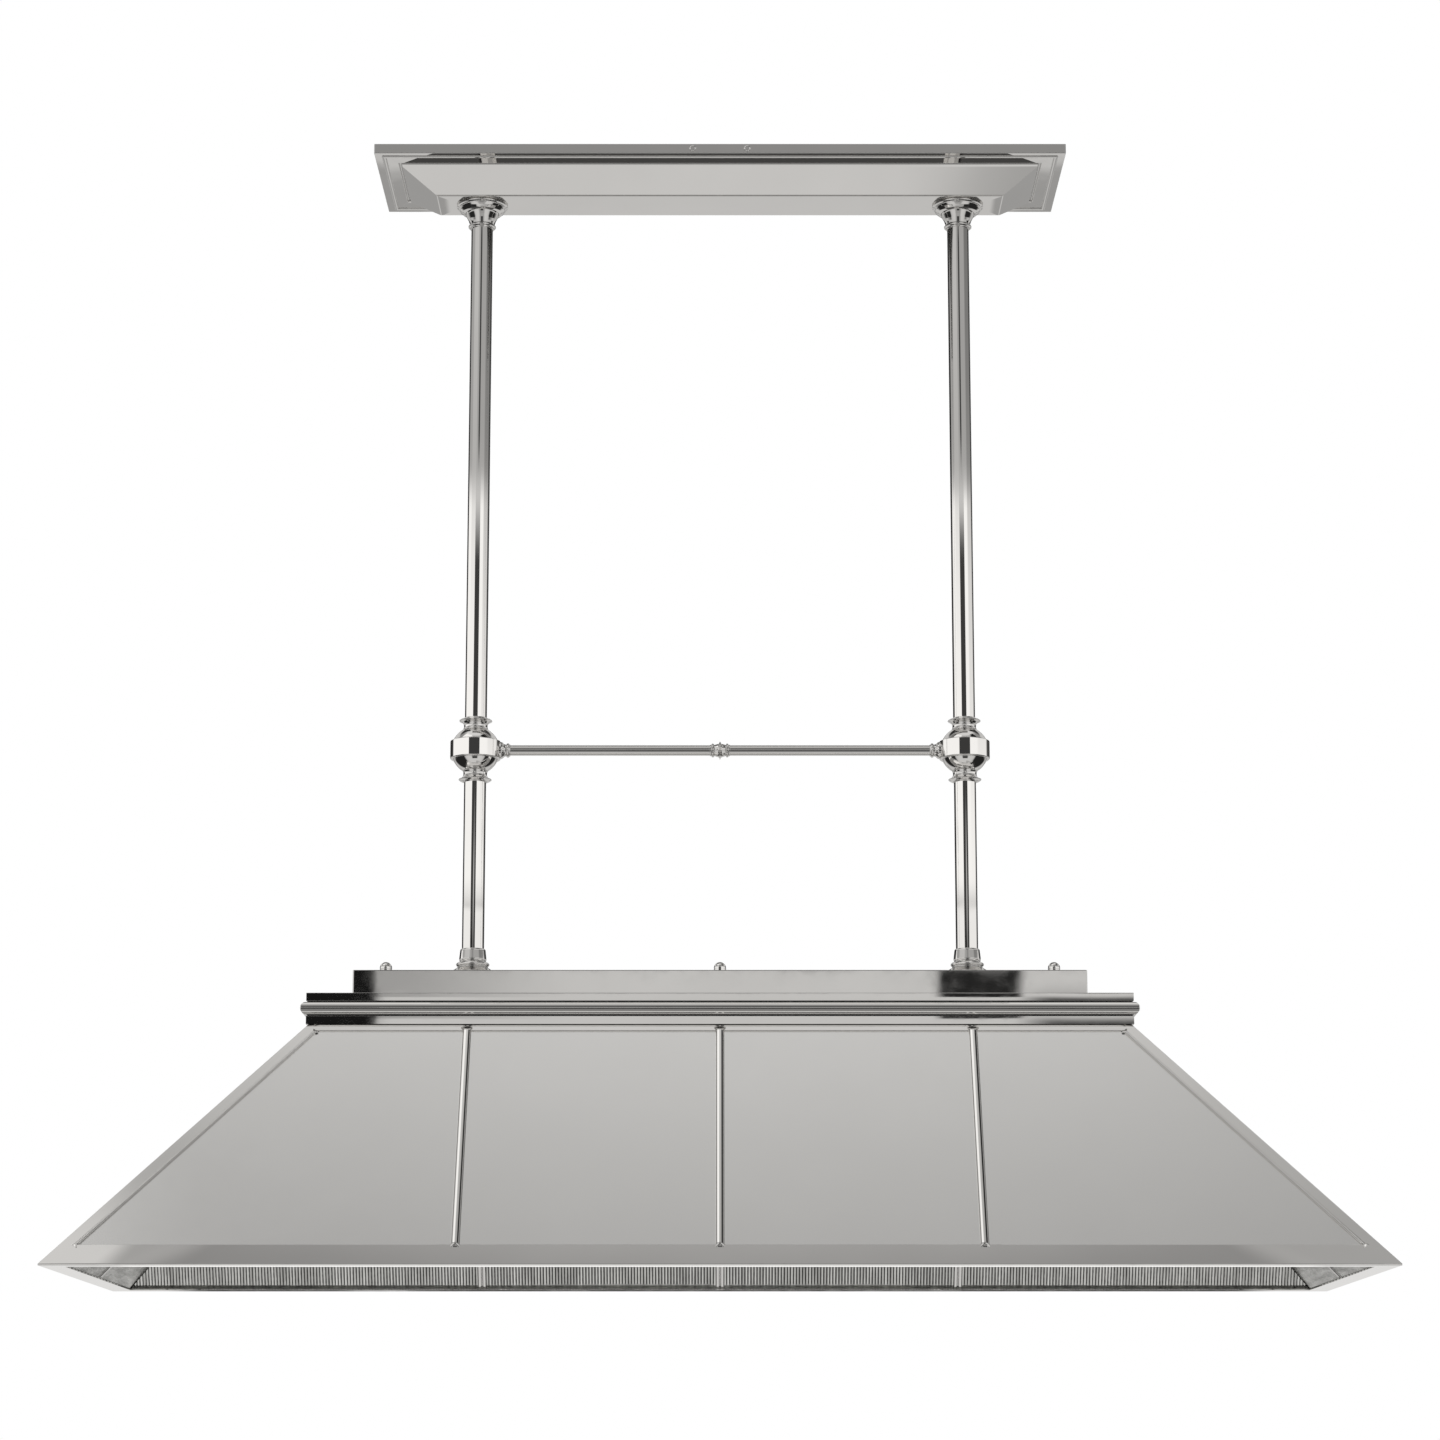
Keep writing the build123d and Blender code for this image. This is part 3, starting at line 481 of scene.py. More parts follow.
def swivel(side):
    """Cup with a turned collar under the canopy, and the ball, bell and bead on top of the stem."""
    x = STEM_X[side]
    face = bottom("canopy_pan")
    cup_top = top(f"swivel_cup_{side}")
    mouth = bottom(f"swivel_cup_{side}")
    seat = 21.8 * MM
    drop = SWING_Z - mouth
    seat_mouth = sqrt(seat**2 - drop**2)
    seat_rise = sqrt(seat**2 - WIRE_BORE**2)
    opening = -degrees(asin(drop / seat))
    throat = degrees(asin(seat_rise / seat))
    cup = [
        (24.5 * MM, cup_top),
        (24.5 * MM, face),
        (30.5 * MM, face),
        (32.0 * MM, face - 1.2 * MM),
        (32.0 * MM, face - 2.6 * MM),
        (29.6 * MM, face - 3.8 * MM),
        (29.6 * MM, face - 4.8 * MM),
        (28.2 * MM, face - 7.4 * MM),
        (25.2 * MM, mouth + 1.4 * MM),
        (22.6 * MM, mouth),
        (seat_mouth, mouth),
    ]
    cup += arc((0, SWING_Z), seat, opening, throat, 20)
    cup += [(WIRE_BORE, cup_top)]
    nickel(turned_z(f"swivel_collar_{side}", x, cup), "ceiling_mount", f"swivel_cup_{side}")

    ball = 21.5 * MM
    seat_low = bottom(f"swivel_ball_{side}")
    ball_top = 12 * MM
    shoulder = -19.0
    crown = degrees(asin(ball_top / ball))
    bell = [
        (19.0 * MM, SWING_Z - 9.6 * MM),
        (17.2 * MM, SWING_Z - 13.0 * MM),
        (16.0 * MM, SWING_Z - 16.5 * MM),
        (NECK_RADIUS, seat_low + 5.4 * MM),
        (NECK_RADIUS - 0.5 * MM, seat_low + 4.8 * MM),
        (NECK_RADIUS + 1.9 * MM, seat_low + 4.0 * MM),
        (NECK_RADIUS + 1.9 * MM, seat_low + 2.4 * MM),
        (NECK_RADIUS - 0.4 * MM, seat_low + 1.2 * MM),
        (NECK_RADIUS - 0.4 * MM, seat_low),
        (SOCKET_RADIUS, seat_low),
        (SOCKET_RADIUS, top(f"upper_stem_{side}")),
        (WIRE_BORE, top(f"upper_stem_{side}")),
        (WIRE_BORE, SWING_Z + ball_top),
    ]
    outline = arc((0, SWING_Z), ball, crown, shoulder, 16) + bell
    nickel(turned_z(f"swivel_bell_{side}", x, outline), "pendant", f"swivel_ball_{side}")


# ------------------------------------------------------------------ stems, hubs and crossbar
TUBE_EDGE = 0.2 * MM


def stems(side):
    for part in ("upper_stem", "lower_stem"):
        node = f"{part}_{side}"
        low, high = bottom(node), top(node)
        outline = [(STEM_BORE, low), (STEM_RADIUS, low), (STEM_RADIUS, high), (STEM_BORE, high)]
        nickel(turned_z(f"{part}_tube_{side}", STEM_X[side], outline, TUBE_EDGE), "pendant", node)


def coupling(side, up):
    """Concave neck off the hub that ends in a thin pointed ring."""
    node = f"{'upper' if up > 0 else 'lower'}_coupling_{side}"
    start, end = (bottom(node), top(node)) if up > 0 else (top(node), bottom(node))
    length = abs(end - start)
    ring = size(node).x / 2

    def at(radius, share):
        return (radius, start + up * share * length)

    outline = [
        at(SOCKET_RADIUS, 0.0),
        at(NECK_RADIUS, 0.0),
        at(NECK_RADIUS, 0.06),
        at(NECK_RADIUS - 0.8 * MM, 0.16),
        at(NECK_RADIUS - 0.9 * MM, 0.36),
        at(NECK_RADIUS - 0.2 * MM, 0.52),
        at(NECK_RADIUS + 1.8 * MM, 0.66),
        at(ring, 0.735),
        at(ring, 0.785),
        at(NECK_RADIUS + 2.2 * MM, 0.90),
        at(SOCKET_RADIUS + 1.2 * MM, 0.93),
        at(SOCKET_RADIUS + 1.0 * MM, 1.0),
        at(SOCKET_RADIUS, 1.0),
    ]
    nickel(turned_z(f"pointed_ring_{node}", STEM_X[side], outline), "pendant", node)


def hub(side):
    """Ball with a flat belt round it, bored for the stems and the cable."""
    ball = 29.6 * MM
    half_belt = 11.2 * MM
    chamfer = 0.7 * MM
    cable_bore = 7 * MM
    half = size(f"hub_ball_{side}").z / 2
    socket = half - 9 * MM
    pole = degrees(asin(half / ball))
    edge = degrees(asin(half_belt / ball))
    upper = [(SOCKET_RADIUS, half)] + arc((0, 0), ball, pole, edge, 14)
    upper += [(BELT_RADIUS - chamfer, half_belt), (BELT_RADIUS, half_belt - chamfer)]
    right = [(r, HUB_Z + z) for r, z in upper]
    right += [(r, HUB_Z - z) for r, z in reversed(upper)]
    core = [(SOCKET_RADIUS, socket), (cable_bore, socket)]
    left = [(r, HUB_Z - z) for r, z in core] + [(r, HUB_Z + z) for r, z in reversed(core)]
    piece = turned_z(f"hub_{side}", STEM_X[side], right + left, 0.35 * MM)
    nickel(piece, "pendant", f"hub_ball_{side}")


def bar_socket(side):
    """Bell that joins the crossbar to a hub."""
    inward = 1 if side == "left" else -1
    start = STEM_X[side] + inward * (BELT_RADIUS - 3 * MM)
    bore = BAR_RADIUS + FIT
    steps = (
        (0.0, bore), (0.0, 10.4), (4.2, 10.4), (5.6, 9.7), (7.0, 8.2), (8.6, 7.4), (10.2, 7.3),
        (10.8, 8.5), (12.0, 8.9), (13.2, 8.5), (13.8, 7.3), (15.0, 7.1), (15.0, bore),
    )
    outline = [
        (start + inward * along * MM, radius if radius == bore else radius * MM)
        for along, radius in steps
    ]
    nickel(turned_x(f"bar_bell_{side}", HUB_Z, outline), "pendant", f"bar_socket_{side}")


def crossbar(side):
    node = f"crossbar_{side}"
    low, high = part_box(node)
    bore = BAR_RADIUS - 1.2 * MM
    outline = [(low.x, bore), (low.x, BAR_RADIUS), (high.x, BAR_RADIUS), (high.x, bore)]
    nickel(turned_x(f"crossbar_tube_{side}", HUB_Z, outline, TUBE_EDGE), "pendant", node)


def knuckle():
    """Turned bead between two small rings in the middle of the crossbar."""
    half = size("bar_knuckle").x / 2
    crown = size("bar_knuckle").z / 2
    bore = BAR_RADIUS + FIT
    right = [
        (0.25 * MM, crown),
        (0.9 * MM, crown - 1.9 * MM),
        (2.2 * MM, crown - 2.9 * MM),
        (4.2 * MM, crown - 3.3 * MM),
        (6.0 * MM, bore + 0.7 * MM),
        (7.2 * MM, bore + 0.5 * MM),
        (8.0 * MM, bore + 2.1 * MM),
        (9.6 * MM, bore + 2.1 * MM),
        (10.4 * MM, bore + 0.6 * MM),
        (half, bore + 0.6 * MM),
        (half, bore),
    ]
    outline = right + [(-x, radius) for x, radius in reversed(right)]
    nickel(turned_x("crossbar_knuckle", HUB_Z, outline, 0.3 * MM), "pendant", "bar_knuckle")


def base_collar(side):
    """Turned collar where a stem meets the plinth: a flared cup over two rings and a foot."""
    node = f"base_collar_{side}"
    low, high = bottom(node), top(node)
    outline = [
        (SOCKET_RADIUS, high),
        (STEM_RADIUS + 1.1 * MM, high),
        (STEM_RADIUS + 1.9 * MM, high - 1.2 * MM),
        (STEM_RADIUS + 2.3 * MM, high - 5.0 * MM),
        (STEM_RADIUS + 3.2 * MM, high - 13.2 * MM),
        (STEM_RADIUS + 2.2 * MM, high - 15.4 * MM),
        (STEM_RADIUS + 5.2 * MM, high - 16.8 * MM),
        (STEM_RADIUS + 6.7 * MM, high - 18.4 * MM),
        (STEM_RADIUS + 6.7 * MM, high - 20.0 * MM),
        (STEM_RADIUS + 4.6 * MM, high - 21.4 * MM),
        (STEM_RADIUS + 5.4 * MM, high - 23.0 * MM),
        (STEM_RADIUS + 10.0 * MM, high - 26.0 * MM),
        (30.6 * MM, low + 4.2 * MM),
        (32.0 * MM, low + 3.0 * MM),
        (32.0 * MM, low),
        (SOCKET_RADIUS, low),
    ]
    nickel(turned_z(f"foot_collar_{side}", STEM_X[side], outline, 0.9 * MM), "pendant", node)


# ------------------------------------------------------------------ plinth, cornice and dome nuts
def plinth():
    """Low box, open below, bored for the stems and the rods."""
    half = size("plinth") / 2
    low, high = bottom("plinth"), top("plinth")
    sheet = 2.5 * MM
    foot = (half.x, half.y, low)
    inside = [
        (half.x - sheet, half.y - sheet, high - sheet),
        (half.x - sheet, half.y - sheet, low),
        foot,
    ]
    outside = [foot, (half.x, half.y, high), (0.9 * half.x, 0.9 * half.y, high)]
    rings = level_rings(eased(inside, 0.4 * MM) + eased(outside, 0.9 * MM), 1.5 * MM)
    box = mesh_object("plinth_box", *skin_rings(rings, False))
    holes = [(x, 0, SOCKET_RADIUS) for x in STEM_X.values()]
    holes += [(x, 0, ROD_HOLE) for x in rod_places()]
    drill(box, holes, high - 5 * MM, high + MM)
    nickel(box, "pendant", "plinth")


def cornice():
    """Flat band with a half-round bead between two small fillets, all one rolled moulding."""
    band = size("cornice_band") / 2
    low, high = bottom("cornice_band"), top("cornice_band")
    bead_low, bead_high = bottom("cornice_bead"), top("cornice_bead")
    proud = size("cornice_bead").x / 2 - band.x
    middle = (bead_low + bead_high) / 2
    quirk = 1.5 * MM
    groove = 1.5 * MM
    half_bead = (bead_high - bead_low) / 2 - quirk

    def out(u, z):
        return (band.x + u, band.y + u, z)

    bulge = [
        out(proud * cos(a), middle + half_bead * sin(a))
        for a in (radians(90 - 180 * k / 20) for k in range(21))
    ]
    head_inset = 60 * MM
    slope = 0.2 * MM
    outside = [
        out(-head_inset, high),
        out(0, high),
        out(0, bead_high),
        out(-groove, bead_high - slope),
        out(-groove, bead_high - quirk),
        *bulge,
        out(-groove, bead_low + quirk),
        out(-groove, bead_low + slope),
        out(0, bead_low),
        out(0, low),
    ]
    inside = [out(-SHEET, low), out(-SHEET, high - SHEET)]
    rings = level_rings(eased(outside, 0.45 * MM) + eased(inside, 0.4 * MM), 1.0 * MM)
    moulding = mesh_object("cornice", *skin_rings(rings, False))
    holes = [(x, 0, 7 * MM) for x in STEM_X.values()] + [(x, 0, ROD_HOLE) for x in rod_places()]
    drill(moulding, holes, high - 5 * MM, high + MM)
    nickel(moulding, "pendant", "cornice_band", "cornice_bead")


def rod_places():
    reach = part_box("tie_rods")[1].x - 3 * MM
    return (-reach, 0.0, reach)


def dome_nuts():
    low, high = bottom("dome_nuts"), top("dome_nuts")
    dome = 7.3 * MM
    bore = 3.05 * MM
    washer = 10 * MM
    washer_top = low + 2 * MM
    roof = high - dome
    nuts = []
    for x in rod_places():
        outline = [(bore, low), (washer, low), (washer, washer_top), (dome + 0.6 * MM, washer_top)]
        outline += [(dome, washer_top + 1.2 * MM)] + arc((0, roof), dome, 0, 90, 14)
        outline += [(0, roof - MM), (bore, roof - MM)]
        nuts.append(turned_z("nut", x, outline, 0.5 * MM))
    nickel(joined("domed_nuts", nuts), "pendant", "dome_nuts")


# ------------------------------------------------------------------ shade
def half_sizes(z, depth):
    """Half length and half depth of the sloping form at a level, this far under its skin."""
    drop = SHADE_TOP - z
    x = HEAD_TOP_X + drop * RUN_X - depth * sqrt(1 + RUN_X**2)
    y = HEAD_TOP_Y + drop * RUN_Y - depth * sqrt(1 + RUN_Y**2)
    return x, y


def on_side(side, along, z, depth):
    """Point on one sloping side, this far along it from its middle and this far under the skin."""
    x, y = half_sizes(z, depth)
    return Vector({
        "front": (along, -y, z),
        "back": (-along, y, z),
        "right": (x, along, z),
        "left": (-x, -along, z),
    }[side])


def outward(side):
    """Unit normal of one sloping side."""
    normals = {
        "front": (0, -1, RUN_Y),
        "back": (0, 1, RUN_Y),
        "right": (1, 0, RUN_X),
        "left": (-1, 0, RUN_X),
    }
    return Vector(normals[side]).normalized()


def half_length(side, z, depth):
    x, y = half_sizes(z, depth)
    return x if side in ("front", "back") else y


def border(side):
    return HIP_BORDER if side in ("front", "back") else HIP_BORDER_END


# How far the border over the rim stands out along each long opening, by share of its half length.
BAND_LIFT = ((1.0, 0.0), (0.93, 0.05), (0.86, 0.85), (0.78, 1.0))


def shade_frame():
    """Border of the four sloping sides, with a return flange at the rim and another at the head."""
    lift = 0.9 * MM
    rim_flange = 26 * MM
    head_flange = 20 * MM
    order = ("front", "right", "back", "left")
    shares = BAND_LIFT + tuple((-share, rise) for share, rise in reversed(BAND_LIFT))
    points, faces = [], []

    def add(point):
        points.append(Vector(point))
        return len(points) - 1

    def corners(half_x, half_y, z):
        return [add((sx * half_x, sy * half_y, z)) for sx, sy in ((-1, -1), (1, -1), (1, 1), (-1, 1))]

    def sloping(upper, lower, depth, rise):
        """Borders round the four openings of one face of the sheet; gives the openings and rim edges."""
        holes, edges = [], []
        for j, side in enumerate(order):
            nxt = (j + 1) % 4
            top_half = half_length(side, HEAD_Z, 0) - border(side)
            low_half = half_length(side, BAND_Z, 0) - border(side)
            rim_half = half_length(side, RIM_Z, depth)
            hole = [add(on_side(side, turn * top_half, HEAD_Z, depth)) for turn in (-1, 1)]
            for share, up in shares:
                hole.append(add(on_side(side, low_half * share, BAND_Z, depth - rise * up)))
            edge = [add(on_side(side, rim_half * share, RIM_Z, depth)) for share, _ in shares[1:-1]]
            outline = [upper[j], upper[nxt], lower[nxt]] + edge + [lower[j]]
            for m in range(len(hole)):
                n = (m + 1) % len(hole)
                faces.append((outline[m], outline[n], hole[n], hole[m]))
            holes.append(hole)
            edges.append(edge)
        return holes, edges

    head_inner = (HEAD_TOP_X - head_flange, HEAD_TOP_Y - head_flange)
    rim_inner = (RIM_X - rim_flange, RIM_Y - rim_flange)
    head_in = corners(*head_inner, SHADE_TOP - SHEET)
    head_in_top = corners(*head_inner, SHADE_TOP)
    head_out = corners(HEAD_TOP_X, HEAD_TOP_Y, SHADE_TOP)
    rim_out = corners(RIM_X, RIM_Y, RIM_Z)
    rim_low = corners(RIM_X, RIM_Y, SHADE_BOTTOM)
    flange_low = corners(*rim_inner, SHADE_BOTTOM)
    flange_top = corners(*rim_inner, RIM_Z)
    rim_in = corners(*half_sizes(RIM_Z, SHEET), RIM_Z)
    head_under = corners(*half_sizes(SHADE_TOP - SHEET, SHEET), SHADE_TOP - SHEET)
    outer_holes, outer_edges = sloping(head_out, rim_out, 0.0, lift)
    inner_holes, inner_edges = sloping(head_under, rim_in, SHEET, 0.0)
    strips = (
        (head_in, head_in_top),
        (head_in_top, head_out),
        (rim_low, flange_low),
        (flange_low, flange_top),
        (head_under, head_in),
    )
    for j in range(4):
        nxt = (j + 1) % 4
        for first, second in strips:
            faces.append((first[j], first[nxt], second[nxt], second[j]))
        faces.append((rim_low[j], rim_low[nxt], rim_out[nxt], *outer_edges[j], rim_out[j]))
        faces.append((flange_top[j], flange_top[nxt], rim_in[nxt], *inner_edges[j], rim_in[j]))
        outer, inner = outer_holes[j], inner_holes[j]
        for m in range(len(outer)):
            n = (m + 1) % len(outer)
            faces.append((outer[m], outer[n], inner[n], inner[m]))
    frame_edge = 0.3 * MM
    piece = bevelled(mesh_object("shade_frame", points, faces, radians(12)), frame_edge, 2, 14)
    rails = [f"rim_rail_{side}" for side in FACES]
    rails += [f"hip_rail_{y}_{x}" for y in ("front", "back") for x in SIDES]
    nickel(piece, "pendant", "head_rail", *rails)
    leave_unpolished(piece)


def leave_unpolished(piece):
    """The hidden upper face of the return flange stays dull."""
    piece.data.materials.append(SLOT_MATERIALS["zinc_steel"])
    for face in piece.data.polygons:
        hidden = face.normal.z > 0.95 and abs(face.center.z - RIM_Z) < SHEET / 2
        face.material_index = 1 if hidden else 0


def half_round(start, end, normal, half_width, height, foot, sink):
    """Half-round bar from start to end whose ends spread out into low feet."""
    along = (end - start).normalized()
    across = along.cross(normal).normalized()
    length = (end - start).length
    # distance from an end as a share of the foot's run, share of the foot's spread, share of the height
    stations = ((0.0, 1.0, 0.0), (0.15, 1.0, 0.12), (0.4, 0.75, 0.5), (0.7, 0.15, 0.9), (1.0, 0.0, 1.0))
    run = 2.2 * height
    thin = 0.05 * MM
    places = [(share * run, foot * wide + (1 - wide), rise) for share, wide, rise in stations]
    places += [(length - d, width, rise) for d, width, rise in reversed(places)]
    rings = []
    for distance, width, rise in places:
        base = start + along * distance
        half, peak = half_width * width, max(height * rise, thin)
        turns = (pi * k / 14 for k in range(15))
        ring = [base + across * (half * cos(a)) + normal * (peak * sin(a)) for a in turns]
        ring += [ring[-1] - normal * sink, ring[0] - normal * sink]
        rings.append(ring)
    return mesh_object("bar", *skin_rings(rings, False))


def ribs(side):
    """Three half-round ribs soldered over the panel, their feet spread on the border."""
    node = f"{side}_ribs"
    overlap = 5 * MM
    bars = []
    for x in (-rib_reach(), 0.0, rib_reach()):
        start = on_side(side, x, HEAD_Z + overlap, 0) - outward(side) * 0.2 * MM
        end = on_side(side, x, BAND_Z - overlap, 0) - outward(side) * 0.2 * MM
        bars.append(half_round(start, end, outward(side), 5.0 * MM, 3.4 * MM, 1.5, 1.7 * MM))
    nickel(joined(f"{side}_rib_bars", bars), "pendant", node)


def rib_reach():
    low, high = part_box("front_ribs")
    return (high.x - low.x) / 2 - 5 * MM


def hip_beads():
    """Thin half-round beads along the sloping edges of the openings, each with a small foot."""
    beads = []
    for side in FACES:
        for turn in (-1, 1):
            inset = border(side) + 0.6 * MM
            start = on_side(side, turn * (half_length(side, HEAD_Z, 0) - inset), HEAD_Z, 0)
            end = on_side(side, turn * (half_length(side, BAND_Z, 0) - inset), BAND_Z - 2 * MM, 0)
            normal = outward(side)
            beads.append(half_round(start, end, normal, 1.5 * MM, 1.8 * MM, 2.6, 1.6 * MM))
    nickel(joined("hip_beads", beads), "pendant")


# ------------------------------------------------------------------ ribbed mirror glass
REED_PITCH = 3.8 * MM
REED_HEIGHT = 1.1 * MM
REED_STEPS = (-0.96, -0.6, -0.2, 0.2, 0.6, 0.96)
REED_ROUND = 0.9
PANE_GAP = 0.75 * MM  # to the middle of a joint
PANE_EDGE = 0.3 * MM
GLASS_OUT = 14.7 * MM
GLASS_IN = 18.2 * MM


def pane_joints(side):
    return (-rib_reach(), 0.0, rib_reach()) if side in ("front", "back") else (0.0,)


def pane_limits(side):
    """Ends of each pane along one side, with a gap at every joint."""
    reach = half_length(side, bottom(f"ribbed_glass_{side}"), GLASS_IN) - PANE_EDGE
    edges = [-reach] + [joint + s * PANE_GAP for joint in pane_joints(side) for s in (-1, 1)] + [reach]
    return list(zip(edges[::2], edges[1::2]))


def pane(side, start, end):
    """One pane: flat silvered back, and reeds running down its inner face."""
    low, high = bottom(f"ribbed_glass_{side}"), top(f"ribbed_glass_{side}")
    run = RUN_X if side in ("front", "back") else RUN_Y
    level_half = half_length(side, high, GLASS_IN)
    count = max(1, round((end - start) / REED_PITCH))
    pitch = (end - start) / count
    columns = []
    for k in range(count):
        for step in REED_STEPS:
            along = start + pitch * (k + 0.5 + step / 2)
            columns.append((along, GLASS_IN - REED_HEIGHT * (1 - sqrt(1 - REED_ROUND * step**2))))
    rings = []
    for along, depth in columns:
        head = min(high, high - (abs(along) + PANE_EDGE - level_half) / run)
        head = max(head, low + 0.5 * MM)
        rings.append([
            on_side(side, along, low, depth),
            on_side(side, along, head, depth),
            on_side(side, along, head, GLASS_OUT),
            on_side(side, along, low, GLASS_OUT),
        ])
    return mesh_object("pane", *skin_rings(rings, False), sharp=radians(50))


def ribbed_glass():
    for side in FACES:
        panes = [pane(side, start, end) for start, end in pane_limits(side)]
        lining = joined(f"reeded_glass_{side}", panes)
        finished(lining, "pendant", "mirror_glass", f"ribbed_glass_{side}")


def glazing_bars():
    """Rounded bars over the joints of the panes, each with a groove down its middle."""
    low, high = bottom("glazing_bars"), top("glazing_bars")
    half = [(-5.0, 0.05), (-5.0, 1.0), (-4.2, 1.8), (-2.2, 1.9), (-1.1, 1.4), (-1.0, 0.3)]
    section = half + [(-u, rise) for u, rise in reversed(half)]
    bars = []
    for side in FACES:
        for along in pane_joints(side):
            rings = [
                [on_side(side, along + u * MM, z, GLASS_IN + rise * MM) for u, rise in section]
                for z in (low, high)
            ]
            bars.append(mesh_object("bar", *skin_rings(rings, False)))
    nickel(joined("glazing_strips", bars), "pendant", "glazing_bars")


# ------------------------------------------------------------------ lampholders and lamps
LAMP_RADIUS = 30 * MM


def lamp_places():
    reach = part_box("lamps")[1].x - LAMP_RADIUS
    return (-reach, -reach / 3, reach / 3, reach)


def lampholders():
    """Skirted porcelain holders, each with a round well for the lamp's cap."""
    low, high = bottom("lampholders"), top("lampholders")
    well = 13.8 * MM
    well_top = low + 26 * MM
    outline = [
        (WIRE_BORE, high),
        (27 * MM, high),
        (27 * MM, high - 4 * MM),
        (24 * MM, high - 6 * MM),
        (21 * MM, high - 8 * MM),
        (20.6 * MM, low + 9 * MM),
        (21 * MM, low + 8 * MM),
        (21 * MM, low + 3 * MM),
        (19 * MM, low),
        (well, low),
        (well, well_top),
        (WIRE_BORE, well_top),
    ]
    holders = [turned_z("holder", x, outline, 0.8 * MM) for x in lamp_places()]
    finished(joined("porcelain_lampholders", holders), "pendant", "porcelain", "lampholders")


def lamps():
    low, high = bottom("lamps"), top("lamps")
    neck = 13.5 * MM
    mouth = bottom("lampholders")
    globe = low + LAMP_RADIUS
    bulbs = []
    for x in lamp_places():
        outline = arc((0, globe), LAMP_RADIUS, -90, 35, 28)
        outline += [(18.5 * MM, globe + 25 * MM), (14.6 * MM, globe + 36 * MM), (neck, mouth)]
        outline += [(neck, high), (0, high)]
        bulbs.append(turned_z("bulb", x, outline, 3.0 * MM))
    finished(joined("globe_lamps", bulbs), "pendant", "lamp_glass", "lamps")


# ------------------------------------------------------------------ studio
def floor():
    """Plain pale floor under the light."""
    material, nodes, links, shader = new_material("floor_paint")
    cloud = noise(nodes, links, 1.5, 2.0)
    tone = two_tones(nodes, links, cloud, (0.80, 0.80, 0.795), (0.83, 0.83, 0.825))
    links.new(tone, shader.inputs["Base Color"])
    shader.inputs["Roughness"].default_value = 0.9
    reach = 30.0
    z = SHADE_BOTTOM - 0.85
    points = [(-reach, -reach, z), (reach, -reach, z), (reach, reach, z), (-reach, reach, z)]
    plane = mesh_object("floor", points, [(0, 1, 2, 3)])
    plane.data.materials.append(material)
    plane.visible_glossy = False


def window(nodes, links, value, low, high, soft):
    """1 where the value lies between low and high, with soft edges."""
    edges = []
    for start, end in ((low - soft, low + soft), (high + soft, high - soft)):
        edge = nodes.new("ShaderNodeMapRange")
        edge.interpolation_type = "SMOOTHSTEP"
        edge.inputs["From Min"].default_value = min(start, end)
        edge.inputs["From Max"].default_value = max(start, end)
        edge.inputs["To Min"].default_value = 0.0 if start < end else 1.0
        edge.inputs["To Max"].default_value = 1.0 if start < end else 0.0
        links.new(value, edge.inputs["Value"])
        edges.append(edge.outputs["Result"])
    return maths(nodes, links, "MULTIPLY", *edges)


def maths(nodes, links, operation, first, second=None):
    node = nodes.new("ShaderNodeMath")
    node.operation = operation
    for socket, value in zip(node.inputs, (first, second)):
        if value is None:
            continue
        if isinstance(value, (int, float)):
            socket.default_value = value
        else:
            links.new(value, socket)
    return node.outputs["Value"]


